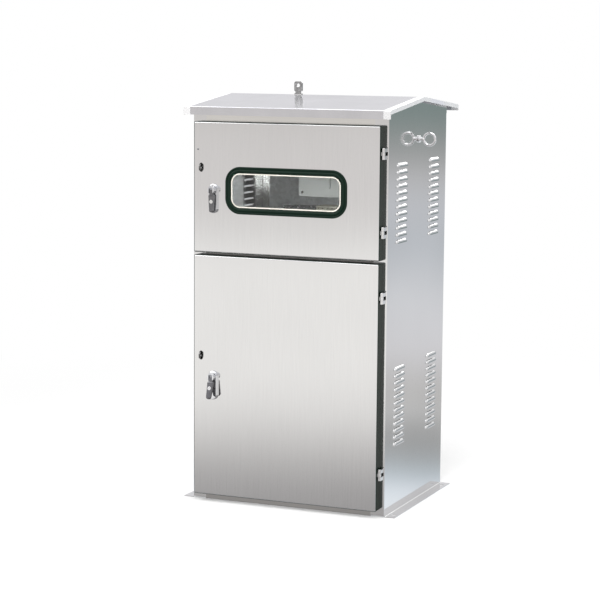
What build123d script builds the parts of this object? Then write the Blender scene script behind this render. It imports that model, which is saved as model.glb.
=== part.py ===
from build123d import *
import os
from math import hypot

# A free-standing low voltage distribution box of folded stainless sheet, with a meter
# compartment above, a breaker compartment below, and a gable roof over both.
# Millimetres. +Z is up and -Y is the side with the doors. The origin is the middle of the
# four anchor holes, on the underside of the flanges that the box stands on.

# The body
body_width = 660.0
body_depth = 540.0
wall_top = 1240.0
sheet = 1.5
bend = 3.0
stile_width = 45.0
rear_flange = 20.0
foot_width = 35.0
anchor_inset_y = 40.0
anchor_edge = 17.5
anchor_radius = 7.0

# The roof
ridge_rise = 60.0
fascia_height = 27.0
rear_fascia_height = 20.0
rake_height = 13.0
side_overhang = 18.0
front_overhang = 35.0
rear_overhang = 67.0
corner_tab_width = 23.0

# The doors
door_side_gap = 17.5
door_proud = 32.0
door_pan_depth = 28.0
door_lip = 15.0
lower_door_z = (24.0, 796.0)
door_gap = 11.0
upper_door_drop = 22.0
seal_width = 14.0
seal_skirt = 1.5
soft_gap = 0.3
stiffener_widths = (68.0, 40.0, 28.0)
stiffener_depth = 14.0

# The rails of the front frame behind the doors
rail_return = 25.0
rail_lap = 15.0
sill_lap = 20.0

# The louvres in the side panels
louvre_length = 90.0
louvre_height = 11.0
louvre_depth = 6.5
louvre_lip = 1.6
louvre_skin = 1.0
louvre_pitch = 21.6
louvre_count = 12
louvre_column_edge = 120.0
lower_louvres_z = 337.5
upper_louvres_drop = 263.5

# The window
window_x = 2.0
window_drop = 6.5
window_side_room = 214.0
window_height = 149.0
window_corner = 50.0
gasket_width = 21.0
gasket_front = 5.0
gasket_back = 6.0
pane_thickness = 4.0
pane_grip = 9.0
sheet_grip = 8.0

# The hinges
hinge_out = 9.0
hinge_back = 10.0
knuckle_radius = 5.5
knuckle_height = 11.0
knuckle_gap = 0.4
hinge_pin_radius = 3.0
hinge_pin_head = 1.5
hinge_leaf = 3.0
running = 0.05
upper_hinge_insets = (86.0, 84.0)
lower_hinge_insets = (114.0, 105.0)

# The locks
lock_inset = 68.5
upper_lock_up = 171.0
lower_lock_up = 357.0
lock_height = 92.0
lock_width = 32.0
lock_proud = 10.0
lock_draft = 8.0
lock_axis_drop = 18.0
spindle_radius = 8.0
fork_radius = 12.0
fork_length = 15.0
fork_slot = 13.0
lever_pin_radius = 2.0
lever_pin_reach = 9.0
lever_length = 71.0
lever_width = 22.0
lever_thickness = 8.0
lever_clearance = 2.0
lower_lever_angle = 18.0
key_drop = 37.0
key_radius = 5.0
cam_thickness = 4.0
cam_width = 20.0
cam_reach = 56.0
cam_gap = 2.5
tenon = 8.0
rivet_height = 2.0
key_face = 1.0
keyway = (1.2, 6.0, 5.0)

# The padlock eyes and the slots they stand through
eye_inset = 24.5
eye_above_lock = (97.0, 94.0)
eye_slot = (12.0, 29.0)
eye_plate = 4.0
eye_height = 21.0
eye_reach = 14.0
eye_hole_radius = 4.5
eye_hole_edge = 4.5

# The lifting eye bolts and the lug on the ridge
eye_bolt_drop = 73.0
eye_bolt_reach = 36.0
ring_radius = 19.0
ring_wire = 4.2
bolt_radius = 5.0
collar_radius = 11.0
collar_height = 6.0
bolt_inside = 14.0
nut_across = 16.0
nut_height = 8.0
lug_x = -85.0
lug_size = (28.0, 42.0, 6.0)
lug_hole_radius = 6.0
lug_hole_up = 29.0

# The inside
plate_sheet = 2.0
plate_return = 12.0
standoff = 50.0
standoff_radius = 7.0
plate_bolt_radius = 4.0
bolt_head = (6.5, 5.0)
bolt_grip = 14.0
bolt_inset = 30.0
plate_gaps = (38.5, 48.5)
lower_plate_height = 640.0
lower_plate_z = 420.0
upper_plate_height = 320.0
upper_plate_drop = 220.0
bottom_skirt = 15.0
shelf_slot = (160.0, 50.0)
shelf_slot_room = 75.0

# The breakers, as width, height and depth
main_size = (105.0, 165.0, 80.0)
main_z = 620.0
branch_size = (75.0, 130.0, 62.0)
branch_z = 315.0
branch_pitch = 160.0
branch_count = 3
breaker_step = 7.0
breaker_shoulder = 34.0
pole_count = 3
pocket_width = 14.0
pocket_height = 20.0
pocket_depth = 16.0
toggle_width = 18.0
toggle_thickness = 8.0
toggle_reach = 18.0
toggle_root = 14.0
toggle_pin_radius = 2.5
toggle_pin_grip = 3.0
toggle_slot_height = 32.0
toggle_angle = 18.0

# The copper
bar_thickness = 5.0
bar_height = 20.0
bar_length = 470.0
bar_z = (485.0, 455.0, 425.0)
bar_spacing = 15.0
bar_stand = 55.0
link_width = 12.0
link_grip = 18.0
link_rise = 6.0
joggle_room = 12.0
support_x = 215.0
support_width = 16.0
neutral_z = 190.0
earth_z = 125.0
ground_bar = (360.0, 5.0, 24.0)
ground_bar_end = 26.0
insulator_radius = 11.0
insulator_height = 26.0
screw_count = 9
screw_pitch = 34.0
screw_radius = 5.0
screw_height = 4.0

# The meter rail and its terminals
rail_width = 35.0
rail_height = 7.5
rail_sheet = 1.2
rail_lip = 4.5
rail_bend = 1.6
rail_hook_gap = 4.0
rail_length = 460.0
rail_drop = 115.0
terminal_count = 10
terminal_size = (15.0, 44.0, 60.0)
terminal_spacing = 16.0
terminal_hook = 4.0

# The cable glands
gland_setback = 210.0
gland_pitch = 110.0
gland_first_x = -55.0
branch_gland = (12.0, 9.0)
main_gland = (24.0, 18.0)
main_gland_x = -200.0
gland_above = 24.0
gland_below = 26.0
gland_flange = 5.0
gland_nut = 8.0
gland_rim = 5.0
gland_cap_step = 1.0

front_y = -body_depth / 2
rear_y = body_depth / 2
side_x = body_width / 2
inner_x = side_x - sheet
door_x = side_x - door_side_gap
door_front = front_y - door_proud
door_back = door_front + door_pan_depth
stile_x = side_x - stile_width
back_face = rear_y - 2 * sheet
plate_face = back_face - standoff - plate_sheet
fold_top = bend + sheet
anchor_x = side_x + anchor_edge
anchor_y = body_depth / 2 - anchor_inset_y

eave_z = wall_top + fascia_height
ridge_z = wall_top + ridge_rise
upper_door_z = (lower_door_z[1] + door_gap, wall_top - upper_door_drop)
mid_rail_z = (lower_door_z[1] - rail_lap, upper_door_z[0] + rail_lap)
header_bottom = upper_door_z[1] - rail_lap
sill_height = lower_door_z[0] + sill_lap
louvre_column_y = body_depth / 2 - louvre_column_edge
louvre_group_z = (lower_louvres_z, wall_top - upper_louvres_drop)
window_centre = (window_x, sum(upper_door_z) / 2 - window_drop)
window_size = (2 * door_x - window_side_room, window_height)
hinge_axis_x = door_x + hinge_out
hinge_axis_y = door_front + hinge_back
upper_hinge_z = (upper_door_z[0] + upper_hinge_insets[0], upper_door_z[1] - upper_hinge_insets[1])
lower_hinge_z = (lower_door_z[0] + lower_hinge_insets[0], lower_door_z[1] - lower_hinge_insets[1])
lock_x = lock_inset - door_x
upper_lock_z = upper_door_z[0] + upper_lock_up
lower_lock_z = lower_door_z[0] + lower_lock_up
eye_x = eye_inset - door_x
upper_eye_z = upper_lock_z + eye_above_lock[0]
lower_eye_z = lower_lock_z + eye_above_lock[1]
eye_bolt_z = wall_top - eye_bolt_drop
lower_plate = (2 * (inner_x - plate_gaps[0]), lower_plate_height)
upper_plate = (2 * (inner_x - plate_gaps[1]), upper_plate_height)
upper_plate_z = wall_top - upper_plate_drop
shelf_slot_y = plate_face - shelf_slot_room
bar_front_y = plate_face - bar_stand
rail_z = upper_plate_z - rail_drop
gland_y = front_y + gland_setback


def block(x, y, z):
    """A rectangular block between three pairs of limits."""
    size = [high - low for low, high in (x, y, z)]
    middle = [(high + low) / 2 for low, high in (x, y, z)]
    return Pos(*middle) * Box(*size)


def band(middle, width):
    """The two limits of a width about its middle."""
    return (middle - width / 2, middle + width / 2)


def rod(start, end, radius):
    """A round bar from one point to another."""
    axis = Vector(*end) - Vector(*start)
    return extrude(Plane(origin=start, z_dir=axis) * Circle(radius), axis.length)


def along_x(sketch, low, high):
    """A sketch of Y and Z, drawn out along X."""
    return extrude(Plane.YZ.offset(low) * sketch, high - low, dir=(1, 0, 0))


def along_y(sketch, low, high):
    """A sketch of X and Z, drawn out along Y."""
    return extrude(Plane.XZ.offset(-low) * sketch, high - low, dir=(0, 1, 0))


def along_z(sketch, low, high):
    """A sketch of X and Y, drawn out along Z."""
    return extrude(Plane.XY.offset(low) * sketch, high - low, dir=(0, 0, 1))


def folded(points, thickness, radius):
    """The section of a folded strip that lies to the left of a line with round bends."""
    line = FilletPolyline(*points, radius=radius)
    return make_face(offset(line, amount=thickness, side=Side.LEFT))


def save(name, *shapes):
    """Write the solids of one piece, or of one set of like pieces."""
    solids = [solid for shape in shapes for solid in shape.solids()]
    whole = solids[0] if len(solids) == 1 else Compound(solids)
    export_step(whole, f"parts/{name}.step")


def louvre(side_z, side_y, skin):
    """The space inside a pressed hood, grown by the thickness of its skin."""
    steps = ((-2 * sheet, 1.0, 0.0), (louvre_depth * 0.6, 0.93, 0.28), (louvre_depth, 0.8, 1.0))
    sections = []
    for out, share, fall in steps:
        top = louvre_height / 2 - fall * (louvre_height - louvre_lip)
        bottom = -louvre_height / 2
        length = louvre_length * share + 2 * skin
        reach = out + (skin if out > 0 else 0)
        middle = side_z + (top + skin + bottom) / 2
        plane = Plane(origin=(side_x + reach, side_y, middle), x_dir=(0, 1, 0), z_dir=(1, 0, 0))
        sections.append(plane * Rectangle(length, top + skin - bottom))
    return loft(sections, ruled=True)


def side_panel():
    """The right side: wall, front stile, rear flange and foot in one folded sheet, louvred."""
    plan = ((stile_x, front_y), (side_x, front_y), (side_x, rear_y), (side_x - rear_flange, rear_y))
    foot = ((inner_x, fold_top), (inner_x, 0), (side_x + foot_width, 0))
    panel = along_z(folded(plan, sheet, bend), fold_top, wall_top)
    panel += along_y(folded(foot, sheet, bend), front_y, rear_y)
    places = [
        (middle + louvre_pitch * (row - (louvre_count - 1) / 2), column)
        for middle in louvre_group_z
        for row in range(louvre_count)
        for column in (-louvre_column_y, louvre_column_y)
    ]
    outside = block((side_x, side_x + 2 * louvre_depth), (front_y, rear_y), (0, wall_top))
    hoods = [louvre(z, y, louvre_skin) & outside for z, y in places]
    panel = panel + hoods - [louvre(z, y, 0) for z, y in places]
    for y in (-anchor_y, anchor_y):
        panel -= rod((anchor_x, y, -1), (anchor_x, y, 2 * sheet), anchor_radius)
    start = (inner_x - sheet, 0, eye_bolt_z)
    return panel - rod(start, (side_x + sheet, 0, eye_bolt_z), bolt_radius + running)


def back_panel():
    """The flat sheet inside the rear flanges."""
    reach = inner_x - bend + sheet
    return block((-reach, reach), (back_face, back_face + sheet), (0, wall_top))


def rail(points, reach):
    """A folded rail of the front frame, butted between the stiles."""
    return along_x(folded(points, sheet, bend), -reach, reach)


def front_rails():
    """The header, the rail between the doors and the sill."""
    back = front_y + rail_return
    header = ((front_y, wall_top), (front_y, header_bottom), (back, header_bottom))
    low, high = mid_rail_z
    middle = ((back, high), (front_y, high), (front_y, low), (back, low))
    sill = ((back, sill_height), (front_y, sill_height), (front_y, 0), (back, 0))
    save("header_rail", rail(header, stile_x))
    save("mid_rail", rail(middle, stile_x))
    save("sill_rail", rail(sill, stile_x))


def gland_places():
    """Where each cable gland stands, with its thread radius and its bore radius."""
    places = [(gland_first_x + gland_pitch * i, *branch_gland) for i in range(branch_count)]
    return [(main_gland_x, *main_gland)] + places


def floor_tray(z, skirt):
    """A flat sheet from wall to wall with its side edges folded down."""
    edges = ((-inner_x, z - skirt), (-inner_x, z + sheet), (inner_x, z + sheet), (inner_x, z - skirt))
    section = folded(tuple(reversed(edges)), sheet, bend)
    return along_y(section, front_y + rail_return, back_face)


def bottom_plate():
    """The floor, which carries the cable glands."""
    plate = floor_tray(sill_height, bottom_skirt)
    over_sill = (front_y + sheet, front_y + rail_return)
    plate += block((-stile_x, stile_x), over_sill, (sill_height, sill_height + sheet))
    for x, thread, bore in gland_places():
        plate -= rod((x, gland_y, 0), (x, gland_y, 2 * sill_height), thread + running)
    return plate


def partition_shelf():
    """The floor of the meter compartment, with a slot for the cables to the meter."""
    z = mid_rail_z[1]
    shelf = floor_tray(z, bottom_skirt)
    shelf += block((-stile_x, stile_x), (front_y + sheet, front_y + rail_return), (z, z + sheet))
    slot = along_z(RectangleRounded(*shelf_slot, shelf_slot[1] / 4), z - sheet, z + 2 * sheet)
    return shelf - Pos(0, shelf_slot_y, 0) * slot


def roof_line(drop):
    """The slopes of the roof, a little below its top face, as front, ridge and rear points."""
    return (
        (front_y - front_overhang, eave_z - drop),
        (0, ridge_z - drop),
        (rear_y + rear_overhang, eave_z - drop),
    )


def skin_drop():
    """How far the underside of the roof lies straight below its top face."""
    rise = ridge_z - eave_z
    run = body_depth / 2 + front_overhang
    return sheet * hypot(rise, run) / run


def under_roof(drop):
    """Everything below the slopes."""
    front, ridge, rear = roof_line(drop)
    outline = Polygon((front[0], 0), front, ridge, rear, (rear[0], 0), align=None)
    reach = side_x + 2 * side_overhang
    return along_x(outline, -reach, reach)


def top_tray():
    """The lid of the body: a flat sheet with walls up to the slopes of the roof."""
    outer = block((-side_x, side_x), (front_y, rear_y), (wall_top, ridge_z))
    room = block((-inner_x, inner_x), (front_y + sheet, rear_y - sheet), (wall_top + sheet, ridge_z))
    return (outer - room) & under_roof(skin_drop())


def roof():
    """The gable roof in one sheet, with its fascias, rakes and folded corners."""
    front, ridge, rear = roof_line(0)
    edge = side_x + side_overhang
    points = (
        (rear[0], rear[1] - rear_fascia_height),
        rear,
        ridge,
        front,
        (front[0], front[1] - fascia_height),
    )
    shell = along_x(folded(points, sheet, bend), -edge, edge)
    band = under_roof(sheet / 2) - under_roof(rake_height)
    inside = ((front[0] + sheet / 2, rear[0] - sheet / 2), (0, ridge_z))
    for low, high in ((-edge, -edge + sheet), (edge - sheet, edge)):
        shell += band & block((low, high), *inside)
    tab_z = (eave_z - fascia_height, eave_z - bend)
    for low, high in ((-edge, -edge + corner_tab_width), (edge - corner_tab_width, edge)):
        shell += block((low, high), (front[0] - sheet, front[0]), tab_z)
    return shell


def roof_lug():
    """The flat tab on the ridge, with a hole for a shackle or a bracing wire."""
    width, height, thickness = lug_size
    corner = width / 4
    outline = Pos(0, height / 2 - corner) * RectangleRounded(width, height + 2 * corner, corner)
    hole = Pos(0, lug_hole_up) * Circle(lug_hole_radius)
    for side in (-width / 2, width / 2):
        outline -= Pos(side, lug_hole_up / 4) * Circle(width / 6)
    plate = along_y(outline - hole, *band(0, thickness))
    return Pos(lug_x, 0, ridge_z) * plate - under_roof(0)


def eye_bolt(side):
    """A lifting eye whose ring stands parallel to the doors."""
    ring_x = side_x + eye_bolt_reach
    ring = Pos(ring_x, 0, eye_bolt_z) * Rot(90, 0, 0) * Torus(ring_radius, ring_wire)
    shank_end = ring_x - ring_radius
    shank = rod((inner_x - bolt_inside, 0, eye_bolt_z), (shank_end, 0, eye_bolt_z), bolt_radius)
    collar = rod((side_x, 0, eye_bolt_z), (side_x + collar_height, 0, eye_bolt_z), collar_radius)
    eye = shank + collar + ring
    return eye if side > 0 else mirror(eye, Plane.YZ)


def eye_bolt_nut(side):
    """The nut inside the wall."""
    hexagon = RegularPolygon(nut_across / 2, 6, major_radius=False) - Circle(bolt_radius + running)
    nut = along_x(hexagon, inner_x - nut_height, inner_x)
    nut = Pos(0, 0, eye_bolt_z) * nut
    return nut if side > 0 else mirror(nut, Plane.YZ)


def door_blank(limits):
    """The outside of a door, with the round bends of its folded sheet."""
    blank = block((-door_x, door_x), (door_front, door_back), limits)
    turned = blank.edges().filter_by(Axis.Y) + blank.faces().sort_by(Axis.Y)[0].edges()
    return fillet(turned, bend)


def door_pan(limits):
    """A door folded from one sheet, with deep edges and a lip all round the back."""
    low, high = limits
    inner_z = (low + sheet, high - sheet)
    room = block((-door_x + sheet, door_x - sheet), (door_front + sheet, door_back - sheet), inner_z)
    mouth_z = (low + door_lip, high - door_lip)
    mouth = block((-door_x + door_lip, door_x - door_lip), (door_front + sheet, door_back), mouth_z)
    return door_blank(limits) - room - mouth


def eye_cut(z):
    """The slot in a door over a padlock eye."""
    slot = Pos(eye_x, z) * SlotOverall(eye_slot[1], eye_slot[0], rotation=90)
    return along_y(slot, door_front - sheet, door_front + 2 * sheet)


def lock_axis(lock_z):
    """The height of the spindle in a lock."""
    return lock_z + lock_height / 2 - lock_axis_drop


def lock_cut(lock_z):
    """The round hole in a door behind a lock."""
    return lock_rod(door_front - sheet, door_front + 2 * sheet, lock_axis(lock_z), spindle_radius + 1)


def door_seal(limits, hinge_places):
    """The rubber edge of a door: a strip that meets the frame, and a skirt over the folded edge."""
    low, high = limits
    reach = door_x + seal_skirt
    y = (door_front + bend, front_y - soft_gap)
    outer = block((-reach, reach), y, (low - seal_skirt, high + seal_skirt))
    outer = fillet(outer.edges().filter_by(Axis.Y), bend + seal_skirt)
    inside = door_x - seal_width
    mouth = block((-inside, inside), y, (low + seal_width, high - seal_width))
    seal = outer - door_blank(limits) - mouth
    notch_y = band(hinge_axis_y, 2 * hinge_leaf + 2 * soft_gap)
    for z in hinge_places:
        seal -= block((door_x, reach), notch_y, band(z, knuckle_height + 2 * soft_gap))
    return seal


def window_outline(inset):
    """The rounded outline of the window, drawn in from the edge of its rubber."""
    size = [length - 2 * inset for length in window_size]
    return Pos(*window_centre) * RectangleRounded(*size, window_corner - inset)


def window_gasket():
    """The rubber profile that clips on the door sheet and holds the pane."""
    front = door_front - gasket_front
    back = door_front + sheet + gasket_back
    ring = along_y(window_outline(0) - window_outline(gasket_width), front, back)
    ring = fillet(ring.faces().sort_by(Axis.Y)[0].edges(), gasket_front / 2)
    ring -= along_y(window_outline(0) - window_outline(sheet_grip), door_front, door_front + sheet)
    pane_y = door_front + (sheet - pane_thickness) / 2
    groove = window_outline(gasket_width - pane_grip) - window_outline(gasket_width)
    return ring - along_y(groove, pane_y, pane_y + pane_thickness)


def window_pane():
    """The clear pane in the inner groove of the rubber."""
    pane_y = door_front + (sheet - pane_thickness) / 2
    return along_y(window_outline(gasket_width - pane_grip), pane_y, pane_y + pane_thickness)


def hinge_rod(low, high, radius):
    """A round bar on the axis of the hinges."""
    return rod((hinge_axis_x, hinge_axis_y, low), (hinge_axis_x, hinge_axis_y, high), radius)


def knuckle(z, low, high, bore):
    """One barrel of a hinge, before its leaf is added."""
    ring = Pos(hinge_axis_x, hinge_axis_y) * (Circle(knuckle_radius) - Circle(bore))
    return along_z(ring, z + low, z + high)


def hinge_spans():
    """The three barrels of a hinge, from the bottom up."""
    half = knuckle_height / 2
    gap = knuckle_gap
    step = knuckle_height + gap
    return ((-half - step, half - step), (-half, half), (step - half, step + half))


def frame_leaf(z):
    """The two outer barrels, on strips that run back to the stile."""
    leaves = []
    for low, high in (hinge_spans()[0], hinge_spans()[2]):
        x = (hinge_axis_x, hinge_axis_x + knuckle_radius)
        strip = block(x, (hinge_axis_y, front_y), (z + low, z + high))
        strip -= hinge_rod(z + low, z + high, knuckle_radius)
        leaves.append(strip + knuckle(z, low, high, hinge_pin_radius))
    return leaves


def door_leaf(z):
    """The middle barrel, on a strip that runs to the edge of the door."""
    low, high = hinge_spans()[1]
    strip = block((door_x, hinge_axis_x), band(hinge_axis_y, 2 * hinge_leaf), (z + low, z + high))
    strip -= hinge_rod(z + low, z + high, knuckle_radius)
    return strip + knuckle(z, low, high, hinge_pin_radius + running)


def hinge_pin(z):
    """The pin, with a head on the top barrel."""
    bottom = z + hinge_spans()[0][0]
    top = z + hinge_spans()[2][1]
    head = hinge_rod(top, top + hinge_pin_head, knuckle_radius - 1)
    return hinge_rod(bottom, top, hinge_pin_radius) + head


def padlock_eye(z):
    """A plate on the stile that stands through the slot in the door."""
    tip = door_front - eye_reach
    plate = block(band(eye_x, eye_plate), (tip, front_y), band(z, eye_height))
    ends = plate.edges().filter_by(Axis.X).group_by(Axis.Y)[0]
    plate = fillet(ends, eye_height / 3)
    hole_y = tip + eye_hole_edge + eye_hole_radius
    return plate - rod((eye_x - eye_plate, hole_y, z), (eye_x + eye_plate, hole_y, z), eye_hole_radius)


def lock_rod(low, high, z, radius):
    """A round bar through a lock, front to back."""
    return rod((lock_x, low, z), (lock_x, high, z), radius)


def lock_housing(lock_z):
    """The escutcheon on the front of a door, with draft on its sides."""
    outline = Pos(lock_x, lock_z) * SlotOverall(lock_height, lock_width, rotation=90)
    housing = extrude(Plane.XZ.offset(-door_front) * outline, lock_proud, taper=lock_draft)
    face = door_front - lock_proud
    return housing - lock_rod(face, door_front, lock_axis(lock_z), spindle_radius + running)


def lever_pin_y():
    """How far out the pin of a lever lies."""
    return door_front - lock_proud - lever_clearance - lever_thickness / 2


def spindle(lock_z):
    """The turning barrel of a lock: a fork in front, and a square tenon for the cam behind."""
    z = lock_axis(lock_z)
    face = door_front - lock_proud
    cam_y = front_y + sheet + cam_gap
    tenon_end = cam_y + cam_thickness
    fork = lock_rod(face - fork_length, face - soft_gap, z, fork_radius)
    mouth = (face - 2 * fork_length, face - lever_clearance)
    fork -= block(band(lock_x, fork_slot), mouth, band(z, 3 * fork_radius))
    pin_y = lever_pin_y()
    left, right = band(lock_x, 2 * lever_pin_reach)
    pin = rod((left, pin_y, z), (right, pin_y, z), lever_pin_radius)
    bar = lock_rod(face - soft_gap, cam_y, z, spindle_radius)
    square = block(band(lock_x, tenon), (cam_y, tenon_end), band(z, tenon))
    rivet = lock_rod(tenon_end, tenon_end + rivet_height, z, tenon * 0.75)
    return fork + bar + square + rivet + pin


def cam(lock_z):
    """The latch on the spindle, which turns behind the stile."""
    z = lock_axis(lock_z)
    cam_y = front_y + sheet + cam_gap
    half = cam_width / 2
    middle = z + (cam_reach - half) / 2
    outline = Pos(lock_x, middle) * RectangleRounded(cam_width, cam_reach + half, half * 0.8)
    hole = Pos(lock_x, z) * Rectangle(tenon + 2 * running, tenon + 2 * running)
    return along_y(outline - hole, cam_y, cam_y + cam_thickness)


def lever(lock_z):
    """The handle of a lock, hanging from the pin in the fork."""
    z = lock_axis(lock_z)
    pin_y = lever_pin_y()
    half = lever_thickness / 2
    root = fork_radius + lever_clearance
    left, right = band(lock_x, fork_slot - 2 * soft_gap)
    tongue = block((left, right), band(pin_y, lever_thickness), (z - root - half, z))
    tongue += rod((left, pin_y, z), (right, pin_y, z), half)
    wide = lever_width / 2
    narrow = wide * 0.72
    corners = ((-wide, -root), (-narrow, -lever_length), (narrow, -lever_length), (wide, -root))
    outline = Polygon(*corners, align=None)
    outline = fillet(outline.vertices().group_by(Axis.Y)[0], narrow * 0.8)
    outline = fillet(outline.vertices().group_by(Axis.Y)[-1], 3)
    blade = along_y(Pos(lock_x, z) * outline, pin_y - half, pin_y + half)
    blade = fillet(blade.faces().sort_by(Axis.Y)[0].edges(), 2)
    bore = rod((lock_x - wide, pin_y, z), (lock_x + wide, pin_y, z), lever_pin_radius + running)
    key = lock_rod(pin_y - lever_thickness, pin_y + lever_thickness, z - key_drop, key_radius + running)
    return blade + tongue - bore - key


def key_plug(lock_z):
    """The round key barrel in a lever, with a keyway."""
    z = lock_axis(lock_z) - key_drop
    front = lever_pin_y() - lever_thickness / 2
    plug = lock_rod(front, front + lever_thickness, z, key_radius)
    plug += lock_rod(front - key_face, front, z, key_radius + key_face)
    width, height, depth = keyway
    return plug - block(band(lock_x, width), (front - key_face, front + depth), band(z, height))


def raised(shape, lock_z):
    """A lever or a key barrel of the lower lock, swung out on the pin."""
    pivot = Pos(lock_x, lever_pin_y(), lock_axis(lock_z))
    return pivot * Rot(-lower_lever_angle, 0, 0) * pivot.inverse() * shape


def plate_points(plate, centre_z):
    """The four corners where a mounting plate is bolted to its standoffs."""
    reach_x = plate[0] / 2 - bolt_inset
    reach_z = plate[1] / 2 - bolt_inset
    return [(x, centre_z + z) for x in (-reach_x, reach_x) for z in (-reach_z, reach_z)]


def mounting_plate(plate, centre_z):
    """A plate with its edges turned back, on standoffs off the rear wall."""
    x = plate[0] / 2
    z = plate[1] / 2
    full = block((-x, x), (plate_face, plate_face + plate_return), (centre_z - z, centre_z + z))
    inside = block(
        (-x + plate_sheet, x - plate_sheet),
        (plate_face + plate_sheet, plate_face + plate_return),
        (centre_z - z + plate_sheet, centre_z + z - plate_sheet),
    )
    shape = full - inside
    for bolt_x, bolt_z in plate_points(plate, centre_z):
        start = (bolt_x, plate_face - 1, bolt_z)
        shape -= rod(start, (bolt_x, plate_face + plate_return, bolt_z), plate_bolt_radius + running)
    return shape


def standoff_post(x, z):
    """A spacer between the rear wall and a mounting plate, tapped at its front."""
    front = plate_face + plate_sheet
    post = rod((x, front, z), (x, back_face, z), standoff_radius)
    return post - rod((x, front, z), (x, front + bolt_grip + 1, z), plate_bolt_radius + running)


def plate_bolt(x, z):
    """A bolt through a mounting plate into its spacer."""
    radius, height = bolt_head
    hexagon = Pos(x, z) * RegularPolygon(radius, 6, major_radius=False)
    head = along_y(hexagon, plate_face - height, plate_face)
    shank_end = plate_face + plate_sheet + bolt_grip
    return head + rod((x, plate_face, z), (x, shank_end, z), plate_bolt_radius)


def pole_pitch(size):
    """The distance between the poles of a breaker."""
    return size[0] / pole_count


def breaker_case(size, x, z):
    """A moulded breaker body with stepped ends, terminal pockets and a toggle slot."""
    width, height, depth = size
    front = plate_face - depth
    case = block(band(x, width), (front + breaker_step, plate_face), band(z, height))
    case += block(band(x, width), (front, front + breaker_step), band(z, height - 2 * breaker_shoulder))
    for pole in range(pole_count):
        pole_x = x + pole_pitch(size) * (pole - (pole_count - 1) / 2)
        for end in (-1, 1):
            mouth = z + end * (height / 2 - pocket_height / 2)
            pocket_y = (front + breaker_step, front + breaker_step + pocket_depth)
            case -= block(band(pole_x, pocket_width), pocket_y, band(mouth, pocket_height))
    slot = (toggle_width + 2 * soft_gap) / 2
    well = (front, front + toggle_root + toggle_thickness)
    case -= block((x - slot, x + slot), well, band(z, toggle_slot_height))
    pin = slot + toggle_pin_grip
    pin_y = front + toggle_root
    case -= rod((x - pin, pin_y, z), (x + pin, pin_y, z), toggle_pin_radius + running)
    return case


def toggle(size, x, z):
    """The switch handle of a breaker, in its lower position."""
    front = plate_face - size[2]
    pin_y = front + toggle_root
    half = toggle_thickness / 2
    grip = toggle_width / 2
    arm = block((x - grip, x + grip), (front - toggle_reach, pin_y), (z - half, z + half))
    tip = arm.edges().filter_by(Axis.X).group_by(Axis.Y)[0]
    arm = fillet(tip, half * 0.7)
    arm += rod((x - grip, pin_y, z), (x + grip, pin_y, z), half)
    reach = grip + toggle_pin_grip
    arm += rod((x - reach, pin_y, z), (x + reach, pin_y, z), toggle_pin_radius)
    pivot = Pos(x, pin_y, z)
    return pivot * Rot(toggle_angle, 0, 0) * pivot.inverse() * arm


def branch_places():
    """The middle of each outgoing breaker."""
    return [branch_pitch * (i - (branch_count - 1) / 2) for i in range(branch_count)]


def terminal_y(size):
    """The seat of a copper link in the terminals of a breaker."""
    return plate_face - size[2] + breaker_step + pocket_depth


def bar_y(phase):
    """The front face of a busbar; each phase lies behind the one below it."""
    return bar_front_y + bar_spacing * (pole_count - 1 - phase)


def busbar(phase):
    """A flat copper bar from end to end of the row of breakers."""
    y = bar_y(phase)
    return block(band(0, bar_length), (y, y + bar_thickness), band(bar_z[phase], bar_height))


def link(x, start, end, grip):
    """A joggled copper strip from a busbar, start, to a breaker terminal, end, both as Y and Z.

    Each Y is the front face of the strip there, and grip is the straight length at the terminal.
    """
    toward = 1 if end[1] > start[1] else -1
    turn_end = end[1] - toward * grip
    turn_start = turn_end - toward * max(abs(end[0] - start[0]), joggle_room)
    points = (start, (start[0], turn_start), (end[0], turn_end), end)
    side = Side.RIGHT if toward > 0 else Side.LEFT
    line = FilletPolyline(*points, radius=bar_thickness + 1)
    section = make_face(offset(line, amount=bar_thickness, side=side))
    return along_x(section, x - link_width / 2, x + link_width / 2)


def feeder_links():
    """The strips from the main breaker down to the fronts of the busbars."""
    end = (terminal_y(main_size) - bar_thickness, main_z - main_size[1] / 2 + link_grip)
    links = []
    for phase in range(pole_count):
        x = pole_pitch(main_size) * (phase - (pole_count - 1) / 2)
        start = (bar_y(phase) - bar_thickness, bar_z[phase] - bar_height / 2)
        links.append(link(x, start, end, link_grip + link_rise))
    return links


def branch_links():
    """The strips from the backs of the busbars down to the outgoing breakers."""
    end = (terminal_y(branch_size) - bar_thickness, branch_z + branch_size[1] / 2 - link_grip)
    links = []
    for middle in branch_places():
        for phase in range(pole_count):
            x = middle + pole_pitch(branch_size) * (phase - (pole_count - 1) / 2)
            start = (bar_y(phase) + bar_thickness, bar_z[phase] + bar_height / 2)
            links.append(link(x, start, end, link_grip + link_rise))
    return links


def busbar_support(x):
    """A moulded comb that holds the three busbars off the mounting plate."""
    low = bar_z[-1] - bar_height
    high = bar_z[0] + bar_height
    front = bar_front_y - bar_thickness
    comb = block(band(x, support_width), (front, plate_face), (low, high))
    for phase in range(pole_count):
        seat = (front, bar_y(phase) + bar_thickness)
        comb -= block(band(x, support_width), seat, band(bar_z[phase], bar_height))
    return comb


def ground_bar_at(z, stand):
    """A neutral or earth bar, with a row of tapped holes."""
    length, thickness, height = ground_bar
    y = plate_face - stand - thickness
    bar = block(band(0, length), (y, y + thickness), band(z, height))
    for i in range(screw_count):
        x = screw_pitch * (i - (screw_count - 1) / 2)
        bar -= rod((x, y - 1, z), (x, y + thickness, z), screw_radius / 2 + running)
    return bar


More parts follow.
